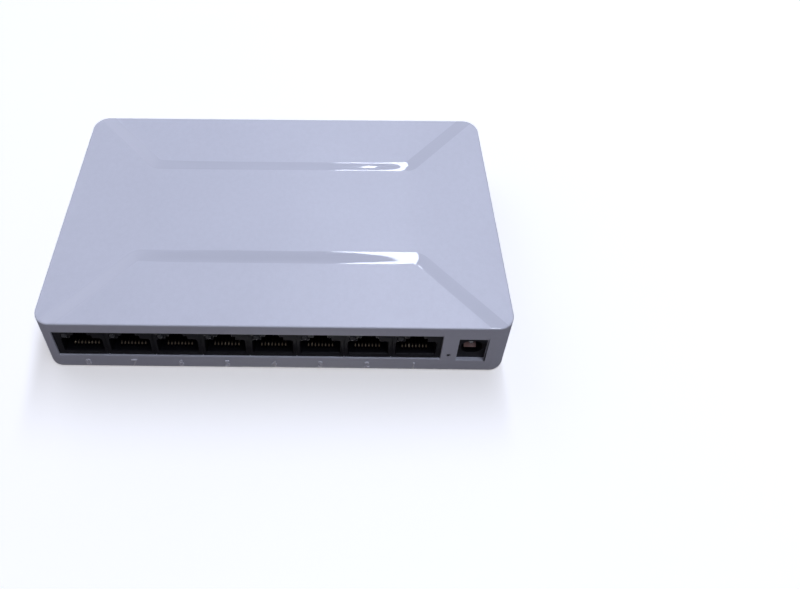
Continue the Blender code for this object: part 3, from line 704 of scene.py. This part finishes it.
# raised port numbers
def raised_digit(number, x):
    curve = bpy.data.curves.new("digit", "FONT")
    curve.body = str(number)
    curve.size = 4.35 * MM
    curve.align_x = "CENTER"
    curve.resolution_u = 6
    curve.extrude = 0.22 * MM
    curve.bevel_depth = 0.05 * MM
    curve.bevel_resolution = 2
    curve.offset = 0.02 * MM
    holder = link("digit", curve)
    bpy.context.view_layer.update()
    graph = bpy.context.evaluated_depsgraph_get()
    mesh = bpy.data.meshes.new_from_object(holder.evaluated_get(graph))
    bpy.data.objects.remove(holder, do_unlink=True)
    mesh.transform(Matrix.Translation(lift(x, FRONT_Y - 0.05, 1.25)) @ Matrix.Rotation(math.pi / 2, 4, "X") @ Matrix.Diagonal((0.8, 1, 1, 1)))
    return mesh


bm = bmesh.new()
for number, x in PORT_X.items():
    bm.from_mesh(raised_digit(number, x))
bmesh.ops.remove_doubles(bm, verts=bm.verts[:], dist=1e-6)
digits = link("port_numbers", mesh_from("port_numbers", bm))
shade(digits, 50, False)
dress(digits, "case", "cover_plastic", LOOK["digit"])


# ------------------------------------------------------------------ ganged jack housing
def port_outline(ease_top=0.6, grow=0.0):
    right = [(5.55 + grow, 8.5 - grow), (5.85 + grow, 8.8), (5.85 + grow, 15.4 - ease_top + grow), (5.85 - ease_top + grow, 15.4 + grow), (3.1 + grow, 15.4 + grow), (3.1 + grow, 16.8 + grow), (2.8 + grow, 17.1 + grow), (1.9 + grow, 17.1 + grow), (1.9 + grow, 18.7 + grow * 0.6)]
    return right + [(-x, z) for x, z in reversed(right)]


def loft_y(bm, sections):
    """A solid through outlines of (x, z) at different depths."""
    rings = [[bm.verts.new(lift(x, y, z)) for x, z in outline] for y, outline in sections]
    for a, b in zip(rings, rings[1:]):
        for i in range(len(a)):
            j = (i + 1) % len(a)
            bm.faces.new((a[i], b[i], b[j], a[j]))
    bm.faces.new(rings[0])
    bm.faces.new(list(reversed(rings[-1])))


bm = bmesh.new()
add_box(bm, (WINDOW_X[0] - 0.4, WALL_IN_Y + 0.3, JACK_Z[0]), (WINDOW_X[1] + 0.4, JACK_BACK_Y, JACK_Z[1]))
jack = link("rj45_block", mesh_from("rj45_block", bm))
bm = bmesh.new()
add_box(bm, (WINDOW_X[0] + 0.08, JACK_FACE_Y, 7.2), (WINDOW_X[1] - 0.08, WALL_IN_Y + 1.5, WINDOW_Z[1] - 0.1))
cut(jack, link("nose", mesh_from("nose", bm)), operation="UNION")
bm = bmesh.new()
add_box(bm, (WINDOW_X[0] + 0.08, JACK_FACE_Y, WINDOW_Z[0] + 0.12), (WINDOW_X[1] - 0.08, WALL_IN_Y + 0.2, 7.4))
cut(jack, link("lip", mesh_from("lip", bm)), operation="UNION")
bm = bmesh.new()
for x in PORT_X.values():
    def moved(outline):
        return [(x + a, b) for a, b in outline]
    loft_y(bm, [(JACK_FACE_Y - 0.5, moved(port_outline(grow=0.16))), (JACK_FACE_Y, moved(port_outline(grow=0.16))), (JACK_FACE_Y + 0.35, moved(port_outline())), (JACK_FACE_Y + 13.0, moved(port_outline()))])
cut(jack, link("openings", mesh_from("openings", bm)))
bm = bmesh.new()
for x in PORT_X.values():
    # one slot in the floor for each wire, and a shared trough behind them
    for k in range(8):
        wx = x + 1.02 * (k - 3.5)
        add_box(bm, (wx - 0.38, JACK_FACE_Y + 1.5, 7.7), (wx + 0.38, JACK_FACE_Y + 12.0, 8.8))
    add_cylinder(bm, 1.15, JACK_FACE_Y - 1, JACK_FACE_Y + 8.3, (x - 4.6, 0, 17.0), "Y", 32)
cut(jack, link("slots", mesh_from("slots", bm)))
bm = bmesh.new()
for x in PORT_X.values():
    add_box(bm, (x - 4.25, JACK_FACE_Y + 3.6, 7.6), (x + 4.25, JACK_FACE_Y + 12.0, 8.8))
for i in range(7):
    # the joint between neighbouring jacks shows as a fine groove down the face
    gx = PORT_ROW_X + PORT_PITCH * (i - 3)
    add_box(bm, (gx - 0.12, JACK_FACE_Y - 0.5, 6.0), (gx + 0.12, JACK_FACE_Y + 0.18, 19.5))
cut(jack, link("troughs", mesh_from("troughs", bm)))
soften(jack, 0.10, 2, 35)
tidy(jack)
shade(jack, 40)
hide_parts("rj45_housing")
dress(jack, "case", "jack_plastic", LOOK["jack"])


# ------------------------------------------------------------------ spring contacts and lights
def contact_path():
    """One wire's sprung part, from its front bend back to its free tip, relative to the hinge line."""
    rise = math.radians(14.0)
    bend = 0.42
    path = [(-bend * math.sin(math.radians(a)), -bend + bend * math.cos(math.radians(a))) for a in range(150, 0, -15)]
    for k in range(11):
        s = 8.0 * k / 10
        path.append((s * math.cos(rise), s * math.sin(rise) + 0.10 * math.sin(math.pi * k / 10)))
    return path


for number, x in PORT_X.items():
    pivot = Vector(JOINTS[f"port_{number}_contacts_flex"]["pos_m"])
    bm = bmesh.new()
    for k in range(8):
        verts = sweep(bm, contact_path(), 0.17, 0.13)
        bmesh.ops.translate(bm, verts=verts, vec=pivot + Vector((1.02 * (k - 3.5) * MM, 0, 0)))
    wires = link(f"port_{number}_wires", mesh_from(f"port_{number}_wires", bm))
    shade(wires, 50, False)
    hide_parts(f"port_{number}_contacts")
    dress(wires, f"port_{number}_contacts", "contact_gold", LOOK["gold"])

bm = bmesh.new()
for number, x in PORT_X.items():
    pivot = Vector(JOINTS[f"port_{number}_contacts_flex"]["pos_m"])
    for k in range(8):
        verts = sweep(bm, [(-0.05, -0.98), (1.5, -0.98), (5.0, -0.98), (9.0, -0.98)], 0.2, 0.12)
        bmesh.ops.translate(bm, verts=verts, vec=pivot + Vector((1.02 * (k - 3.5) * MM, 0, 0)))
tails = link("contact_tails", mesh_from("contact_tails", bm))
shade(tails, 50, False)
dress(tails, "case", "contact_gold", LOOK["gold"])

for number, x in PORT_X.items():
    dome = [(0.0, 0.42)] + [(1.0 * math.sin(math.radians(a)), -0.25 + 0.67 * math.cos(math.radians(a))) for a in range(10, 91, 10)]
    lens = lathe(f"port_{number}_lens", dome + [(1.0, -7.5), (0.85, -7.6), (0.0, -7.6)], (x - 4.6, JACK_FACE_Y, 17.0), "-Y", 40)
    shade(lens, 40)
    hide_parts(f"port_{number}_light")
    dress(lens, "case", "light_lens", LOOK["lens"])

# the power light is a stepped pipe, whose narrow end stands in the pinhole a little below the wall's face
dome = [(0.0, 1.85)] + [(0.5 * math.sin(math.radians(a)), 1.55 + 0.3 * math.cos(math.radians(a))) for a in range(15, 91, 15)]
dome += [(0.5, 0.1)] + [(0.5 + 0.6 * math.sin(math.radians(a)), -0.5 + 0.6 * math.cos(math.radians(a))) for a in range(10, 91, 10)]
power_lens = lathe("power_lens", dome + [(1.1, -5.0), (0.0, -5.0)], (PINHOLE_X, WALL_IN_Y + 0.3 - 0.6, PINHOLE_Z), "-Y", 40)
shade(power_lens, 40)
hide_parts("power_light")
dress(power_lens, "case", "light_lens", LOOK["lens"])

# ------------------------------------------------------------------ power jack
bm = bmesh.new()
add_box(bm, (POWER_X - 4.5, POWER_FACE_Y + 1.0, 6.8), (POWER_X + 4.5, POWER_FACE_Y + 14.2, 17.2))
power = link("power_jack_body", mesh_from("power_jack_body", bm))
bm = bmesh.new()
add_box(bm, (POWER_X - 4.8, POWER_FACE_Y, 5.3), (POWER_X + 4.8, POWER_FACE_Y + 2.0, 18.2))
cut(power, link("flange", mesh_from("flange", bm)), operation="UNION")
bm = bmesh.new()
add_box(bm, (POWER_WINDOW_X[0] + 0.08, FRONT_Y + 1.0, POWER_WINDOW_Z[0] + 0.1), (POWER_WINDOW_X[1] - 0.08, POWER_FACE_Y + 1.0, POWER_WINDOW_Z[1] - 0.1))
cut(power, link("power_nose", mesh_from("power_nose", bm)), operation="UNION")
bm = bmesh.new()
add_cylinder(bm, 3.25, FRONT_Y - 1, POWER_FACE_Y + 9.5, (POWER_X, 0, POWER_Z), "Y", 64)
cut(power, link("bore", mesh_from("bore", bm)))
bm = bmesh.new()
add_cylinder(bm, 1.2, POWER_FACE_Y + 5, POWER_FACE_Y + 20, (POWER_X, 0, POWER_Z), "Y", 32)
cut(power, link("pin_bore", mesh_from("pin_bore", bm)))
bm = bmesh.new()
add_box(bm, (POWER_X - 2.1, POWER_FACE_Y - 0.55, 7.4), (POWER_X + 2.1, POWER_FACE_Y + 11.9, 10.3))
cut(power, link("leaf_slot", mesh_from("leaf_slot", bm)))
soften(power, 0.15, 3, 40)
shade(power, 40)
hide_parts("power_jack_housing")
dress(power, "case", "jack_plastic", LOOK["jack"])

pin_profile = [(0.0, 0.15)] + [(0.95 * math.sin(math.radians(a)) + 0.05 * a / 90, -0.6 + 0.75 * math.cos(math.radians(a))) for a in range(15, 91, 15)] + [(1.0, -13.5), (0.0, -13.6)]
pin = lathe("power_pin", pin_profile, (POWER_X, POWER_FACE_Y, POWER_Z), "-Y", 40)
shade(pin, 40)
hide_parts("power_jack_pin")
dress(pin, "case", "nickel", LOOK["nickel"])

leaf_pivot = Vector(JOINTS["power_jack_leaf_flex"]["pos_m"])
knots = [(0.0, 0.0), (-2.0, 0.12), (-4.0, 0.35), (-5.6, 0.68), (-7.0, 0.97), (-7.9, 1.12), (-8.4, 1.14), (-8.9, 1.05), (-9.5, 0.80), (-10.0, 0.46), (-10.45, 0.10)]
bm = bmesh.new()
verts = sweep(bm, knots, 1.8, 0.14, 0.25)
bmesh.ops.translate(bm, verts=verts, vec=leaf_pivot)
leaf = link("power_leaf", mesh_from("power_leaf", bm))
shade(leaf, 50, False)
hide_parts("power_jack_leaf")
dress(leaf, "power_jack_leaf", "leaf_copper", LOOK["copper"])

# ------------------------------------------------------------------ base plate, feet and screws
bm = bmesh.new()
prism(bm, rounded(HALF_W - WALL - 0.3, HALF_D - WALL - 0.3, 2.7, 10), 0.0, 2.0)
base = link("base_panel", mesh_from("base_panel", bm))
bm = bmesh.new()
for x, y in ((-60.5, 12.5), (60.5, 12.5), (-60.5, -18.0), (60.5, -18.0)):
    add_cylinder(bm, 2.6, 1.5, 4.6, (x, y, 0), "Z", 32)
for sx in (-1, 1):
    add_cylinder(bm, 5.0, 1.5, 4.2, (sx * 45.0, 31.0, 0), "Z", 40)
    x = sorted((sx * (HALF_W - WALL - 0.3 - 1.2), sx * (HALF_W - WALL - 0.3)))
    add_box(bm, (x[0], -20.0, 1.5), (x[1], -12.0, 10.2))
cut(base, link("posts", mesh_from("posts", bm)), operation="UNION")
bm = bmesh.new()
for sx in (-1, 1):
    x = sorted((sx * (HALF_W - WALL - 0.3 - 0.4), sx * (HALF_W - WALL + 0.45)))
    add_box(bm, (x[0], -19.0, 8.0), (x[1], -13.0, 9.0))
cut(base, link("hooks", mesh_from("hooks", bm)), operation="UNION")


def slot_outline(x, y, half_w, half_l, steps=8):
    points = [(x + half_w * math.cos(math.radians(a)), y + half_l - half_w + half_w * math.sin(math.radians(a))) for a in [180 * k / steps for k in range(steps + 1)]]
    return points + [(x - half_w * math.cos(math.radians(a)), y - half_l + half_w - half_w * math.sin(math.radians(a))) for a in [180 * k / steps for k in range(steps + 1)]]


bm = bmesh.new()
for i in range(11):
    prism(bm, slot_outline(-30.0 + 6.0 * i, -3.0, 1.0, 9.0), -1.0, 3.0)
for sx in (-1, 1):
    for sy in (-1, 1):
        add_cylinder(bm, 4.3, -1, 0.8, (sx * 56.0, sy * 29.0, 0), "Z", 48)
    add_cylinder(bm, 1.7, -1, 5.0, (sx * 45.0, 31.0, 0), "Z", 32)
    add_cylinder(bm, 1.4, 2.6, 6.0, (sx * 60.5, 12.5, 0), "Z", 24)
# a shallow bare panel where a maker would stick a label
prism(bm, rounded(24.0, 8.0, 1.5, 6, (0.0, 20.0)), -1.0, 0.2)
cut(base, link("base_cuts", mesh_from("base_cuts", bm)))
bm = bmesh.new()
for sx in (-1, 1):
    add_cylinder(bm, 3.3, -1, 2.3, (sx * 45.0, 31.0, 0), "Z", 40)
    add_cylinder(bm, 3.6, -1, 3.0, (sx * 44.0, -3.0, 0), "Z", 40)
cut(base, link("base_recess", mesh_from("base_recess", bm)))
bm = bmesh.new()
for sx in (-1, 1):
    add_box(bm, (sx * 44.0 - 1.9, -3.0, -1), (sx * 44.0 + 1.9, 7.0, 3.0))
cut(base, link("base_slot", mesh_from("base_slot", bm)))
soften(base, 0.18, 2, 40)
tidy(base)
shade(base, 40)
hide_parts("base_plate")
dress(base, "case", "base_plastic", LOOK["base"])

for row, sy in (("front", -1), ("rear", 1)):
    for side, sx in (("left", -1), ("right", 1)):
        profile = [(0.0, 0.5), (3.9, 0.5), (4.0, 0.4), (4.0, -0.45)] + [(3.55 + 0.45 * math.cos(math.radians(a)), -0.5 - 0.45 * math.sin(math.radians(a))) for a in (20, 45, 70, 90)] + [(3.2, -1.0), (2.9, -0.86), (0.8, -0.80), (0.0, -0.80)]
        profile = [(0.0, 0.5), (3.9, 0.5), (4.0, 0.4), (4.0, -0.5), (3.93, -0.75), (3.75, -0.93), (3.5, -1.0), (0.0, -1.0)]
        foot = lathe(f"rubber_foot_{row}_{side}", profile, (sx * 56.0, sy * 29.0, 0), "Z", 56)
        shade(foot, 35)
        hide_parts(f"foot_{row}_{side}")
        dress(foot, "case", "foot_rubber", LOOK["rubber"])


def cross_screw(name, head_r, head_h, shank_r, length, at, down):
    """A pan head with a cross recess. The head's seat is at height 0, with the shank away from the head."""
    profile = [(0.0, head_h)] + [(head_r * math.sin(math.radians(a)), head_h * (0.35 + 0.65 * math.cos(math.radians(a)))) for a in range(15, 91, 15)] + [(head_r, 0.0), (shank_r, 0.0)]
    turns = int(length / 0.55)
    for k in range(turns):
        z = -0.3 - (length - 0.9) * k / turns
        profile += [(shank_r - 0.18, z), (shank_r, z - 0.18)]
    profile += [(shank_r * 0.5, -length + 0.3), (0.0, -length)]
    screw = lathe(name, profile, (0, 0, -ZERO), "Z", 32)
    arm = head_r * 0.52
    parts_two = []
    bm_a, bm_b = bmesh.new(), bmesh.new()
    for a, each in enumerate((bm_a, bm_b)):
        bmesh.ops.create_cube(each, size=1.0, matrix=Matrix.Rotation(a * math.pi / 2, 4, "Z") @ Matrix.Translation((0, 0, (head_h * 0.3 + 1.0) * MM)) @ Matrix.Diagonal((2 * arm * MM, 0.3 * head_r * MM, 2.0 * MM, 1)))
        parts_two.append(link(f"drive_{a}", mesh_from(f"drive_{a}", each)))
    cut(parts_two[0], parts_two[1], operation="UNION")
    cut(screw, parts_two[0])
    tidy(screw)
    place = Matrix.Translation(lift(*at)) @ (Matrix.Rotation(math.pi, 4, "X") if down else Matrix.Identity(4))
    screw.data.transform(place)
    shade(screw, 35)
    return screw


for side, sx in (("left", -1), ("right", 1)):
    screw = cross_screw(f"case_screw_{side}_head", 2.8, 1.4, 1.33, 10.4, (sx * 45.0, 31.0, 2.0), True)
    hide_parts(f"case_screw_{side}")
    dress(screw, "case", "screw_steel", LOOK["steel"])
    screw = cross_screw(f"board_screw_{side}_head", 2.4, 1.4, 1.08, 3.5, (sx * 60.5, 12.5, 6.8), False)
    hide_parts(f"board_screw_{side}")
    dress(screw, "case", "screw_steel", LOOK["steel"])

# ------------------------------------------------------------------ what the board carries keeps its CAD shape
for names, look in (
    (["main_board"], "board"),
    (["lan_transformer_1", "lan_transformer_2", "lan_transformer_3", "lan_transformer_4", "switch_chip", "config_memory", "voltage_regulator"], "package"),
    (["heat_sink"], "anodised"),
    (["buck_inductor"], "ferrite"),
    (["clock_crystal", "power_jack_switch_contact"], "nickel"),
    (["capacitor_1", "capacitor_2"], "sleeve"),
):
    for name in names:
        node = frame["nodes"][name]
        node.data.materials.clear()
        node.data.materials.append(LOOK[look])

# ------------------------------------------------------------------ floor, light and camera
scene = bpy.context.scene
scene.view_settings.view_transform = "Standard"
scene.view_settings.look = "None"
KEY_POWER = 12.5
BACKDROP = (0.93, 0.93, 0.94)
ROOM_LEFT_WINDOW = (0.90, 0.92, 1.08)
ROOM_FRONT_LEFT, ROOM_FRONT_RIGHT, ROOM_BACK, ROOM_TOP = (0.32, 0.29, 0.30), (0.085, 0.08, 0.08), (0.27, 0.28, 0.32), (0.15, 0.16, 0.20)


def floor_look():
    """Pale paper. It is see-through from below, so that the underside can be looked at, and it throws little light back up."""
    n = Nodes("floor_paper")
    tree = n.tree
    slow = n.noise(220.0, 3.0, 0.5)
    tone = n.blend(n.range(slow, 0.3, 0.7), (0.90, 0.90, 0.91), (0.93, 0.93, 0.935))
    path = tree.nodes.new("ShaderNodeLightPath")
    seen = n.blend(path.outputs["Is Camera Ray"], (0.20, 0.19, 0.19), tone)
    n.set(Base_Color=seen, Roughness=0.9, Normal=n.bump(n.noise(1.5, 3.0, 0.6), 0.05, 0.05))
    n.set(Emission_Color=(0.95, 0.93, 0.90), Emission_Strength=n.maths("MULTIPLY", path.outputs["Is Camera Ray"], 0.36))
    n.set(Specular_IOR_Level=0.1)
    clear = tree.nodes.new("ShaderNodeBsdfTransparent")
    choose = tree.nodes.new("ShaderNodeMixShader")
    side = tree.nodes.new("ShaderNodeNewGeometry")
    hidden = n.maths("MAXIMUM", side.outputs["Backfacing"], path.outputs["Is Shadow Ray"])
    tree.links.new(hidden, choose.inputs[0])
    reach = tree.nodes.new("ShaderNodeVectorMath")
    reach.operation = "LENGTH"
    tree.links.new(n.coords, reach.inputs[0])
    far = n.maths("MULTIPLY", n.range(reach.outputs["Value"], 0.28, 1.1), path.outputs["Is Camera Ray"])
    haze = tree.nodes.new("ShaderNodeEmission")
    haze.inputs["Color"].default_value = (*BACKDROP, 1.0)
    fade = tree.nodes.new("ShaderNodeMixShader")
    tree.links.new(far, fade.inputs[0])
    tree.links.new(n.shader.outputs[0], fade.inputs[1])
    tree.links.new(haze.outputs[0], fade.inputs[2])
    tree.links.new(fade.outputs[0], choose.inputs[1])
    tree.links.new(clear.outputs[0], choose.inputs[2])
    tree.links.new(choose.outputs[0], tree.nodes["Material Output"].inputs["Surface"])
    return n.mat


bm = bmesh.new()
size = 3.0
corners = [bm.verts.new(p) for p in ((-size, -size, 0), (size, -size, 0), (size, size, 0), (-size, size, 0))]
bm.faces.new(corners)
floor = link("floor", mesh_from("floor", bm, False))
floor.data.materials.append(floor_look())


def area_light(name, at, target, size_x, size_y, power, colour=(1, 1, 1), shown=False):
    """A rectangular light. Its long side size_y stands along the target's up direction."""
    data = bpy.data.lights.new(name, "AREA")
    data.shape = "RECTANGLE"
    data.size, data.size_y = size_x, size_y
    data.energy = power
    data.color = colour
    made = bpy.data.objects.new(name, data)
    scene.collection.objects.link(made)
    way = (Vector(target) - Vector(at)).normalized()
    made.location = at
    made.rotation_mode = "QUATERNION"
    made.rotation_quaternion = way.to_track_quat("-Z", "Y")
    made.visible_camera = shown
    return made


def panel(name, outline, height, colour, strength):
    """A flat light of any outline, facing down. The camera doesn't see it."""
    mat = bpy.data.materials.new(name)
    mat.use_nodes = True
    tree = mat.node_tree
    tree.nodes.remove(tree.nodes["Principled BSDF"])
    glow = tree.nodes.new("ShaderNodeEmission")
    glow.inputs["Color"].default_value = (*colour, 1.0)
    glow.inputs["Strength"].default_value = strength
    dark = tree.nodes.new("ShaderNodeBsdfTransparent")
    side = tree.nodes.new("ShaderNodeNewGeometry")
    choose = tree.nodes.new("ShaderNodeMixShader")
    tree.links.new(side.outputs["Backfacing"], choose.inputs[0])
    tree.links.new(glow.outputs[0], choose.inputs[1])
    tree.links.new(dark.outputs[0], choose.inputs[2])
    tree.links.new(choose.outputs[0], tree.nodes["Material Output"].inputs["Surface"])
    bm = bmesh.new()
    bm.faces.new([bm.verts.new((x, y, height)) for x, y in outline])
    made = link(name, mesh_from(name, bm, False))
    if made.data.polygons[0].normal.z > 0:
        made.data.flip_normals()
    made.data.materials.append(mat)
    made.visible_camera = False
    made.visible_shadow = False
    return made


# one long panel overhead, running front to back a little right of the object, and the next one in its row far behind
panel("overhead_panel", [(0.036, 1.23), (0.036, 0.82), (0.012, 0.765), (0.078, 0.45), (0.113, 0.288), (0.25, -0.50), (0.44, -0.50), (0.26, 0.40), (0.222, 0.771), (0.192, 1.02), (0.185, 1.23)], 1.2, (0.80, 0.85, 1.0), KEY_POWER)
panel("far_panel", [(0.131, 2.40), (0.124, 1.96), (0.166, 1.96), (0.174, 2.40)], 1.2, (0.85, 0.9, 1.0), KEY_POWER)
under = area_light("under_fill", (0.0, 0.0, -1.0), (0.0, 0.0, 0.0), 0.25, 0.25, 3.0, (1.0, 1.0, 1.0))

world = bpy.data.worlds.new("room")
scene.world = world
world.use_nodes = True


def room_light():
    """Pale to the camera. As light it is soft, cool from above and behind, and dimmer and warmer from the front."""
    tree = world.node_tree
    ground = tree.nodes["Background"]
    ground.inputs["Strength"].default_value = 1.0
    way = tree.nodes.new("ShaderNodeNewGeometry").outputs["Incoming"]
    split = tree.nodes.new("ShaderNodeSeparateXYZ")
    tree.links.new(way, split.inputs[0])

    def ramp(value, low, high, to_low, to_high):
        node = tree.nodes.new("ShaderNodeMapRange")
        node.interpolation_type = "SMOOTHSTEP"
        tree.links.new(value, node.inputs["Value"])
        for key, number in (("From Min", low), ("From Max", high), ("To Min", to_low), ("To Max", to_high)):
            node.inputs[key].default_value = number
        return node.outputs["Result"]

    def blend(factor, a, b):
        node = tree.nodes.new("ShaderNodeMix")
        node.data_type = "RGBA"
        tree.links.new(factor, node.inputs[0])
        for socket, value in ((node.inputs[6], a), (node.inputs[7], b)):
            if isinstance(value, bpy.types.NodeSocket):
                tree.links.new(value, socket)
            else:
                socket.default_value = (*value, 1.0)
        return node.outputs[2]

    # Incoming points from the sky to the viewer, so each part is turned round
    front = blend(ramp(split.outputs["X"], -0.7, 0.7, 0.0, 1.0), ROOM_FRONT_RIGHT, ROOM_FRONT_LEFT)
    front_to_back = blend(ramp(split.outputs["Y"], -0.6, 0.6, 1.0, 0.0), front, ROOM_BACK)
    high = blend(ramp(split.outputs["Z"], -0.9, -0.1, 1.0, 0.0), front_to_back, ROOM_TOP)
    glow = ramp(split.outputs["X"], 0.14, 0.32, 0.0, 1.0)
    for factor in (ramp(split.outputs["Z"], -0.6, -0.2, 1.0, 0.0), ramp(split.outputs["Y"], -0.35, 0.1, 1.0, 0.0)):
        times = tree.nodes.new("ShaderNodeMath")
        times.operation = "MULTIPLY"
        tree.links.new(glow, times.inputs[0])
        tree.links.new(factor, times.inputs[1])
        glow = times.outputs[0]
    high = blend(glow, high, ROOM_LEFT_WINDOW)
    path = tree.nodes.new("ShaderNodeLightPath")
    tree.links.new(blend(path.outputs["Is Camera Ray"], high, BACKDROP), ground.inputs["Color"])


room_light()

# the camera stands at the photograph's viewpoint, close above and in front of the port wall
F, AZ, EL, ROLL, DIST, TX, TY, CX, CY = 769.21, 0.011159, 0.665945, -0.000295, 375.584, 11.7331, 141.687, 321.223, -1.907
back = Vector((math.sin(AZ) * math.cos(EL), -math.cos(AZ) * math.cos(EL), math.sin(EL)))
eye = Vector((TX, TY, 0)) + back * DIST
x_axis = Vector((0, 0, 1)).cross(back).normalized()
y_axis = back.cross(x_axis)
turn = Matrix((x_axis, y_axis, back)).transposed()
camera_data = bpy.data.cameras.new("camera")
camera = bpy.data.objects.new("camera", camera_data)
scene.collection.objects.link(camera)
camera.matrix_world = Matrix.Translation(lift(*eye)) @ (turn @ Matrix.Rotation(-ROLL, 3, "Z")).to_4x4()
camera_data.sensor_width = 36.0
camera_data.lens = F * 36.0 / 800.0
camera_data.clip_start, camera_data.clip_end = 0.01, 20.0
scene.camera = camera
bpy.context.view_layer.update()


def at_viewpoint(data, path, here, elsewhere):
    """A setting with one value while the camera stands at this viewpoint, and another when it is moved elsewhere."""
    driver = data.driver_add(path).driver
    driver.type = "SCRIPTED"
    for axis in "xyz":
        variable = driver.variables.new()
        variable.name = axis
        variable.type = "TRANSFORMS"
        variable.targets[0].id = camera
        variable.targets[0].transform_type = "LOC_" + axis.upper()
        variable.targets[0].transform_space = "WORLD_SPACE"
    home = camera.location
    driver.expression = f"{here:.5f} if fabs(x-({home.x:.5f}))+fabs(y-({home.y:.5f}))+fabs(z-({home.z:.5f})) < 0.001 else {elsewhere:.5f}"


# the lens is shifted at this viewpoint, and looks straight ahead from anywhere else
at_viewpoint(camera_data, "shift_x", (400 - CX) / 800, 0.0)
at_viewpoint(camera_data, "shift_y", (CY - 294.5) / 800, 0.0)
# a very soft light over the camera's shoulder for the sides that this room leaves dim; it is off at this viewpoint
shoulder_data = bpy.data.lights.new("shoulder_fill", "SUN")
shoulder_data.angle = math.radians(70)
shoulder_data.color = (1.0, 0.98, 0.96)
shoulder = bpy.data.objects.new("shoulder_fill", shoulder_data)
scene.collection.objects.link(shoulder)
shoulder.parent = camera
shoulder.rotation_euler = (math.radians(-30), math.radians(-28), 0.0)
at_viewpoint(shoulder_data, "energy", 0.0, 1.1)
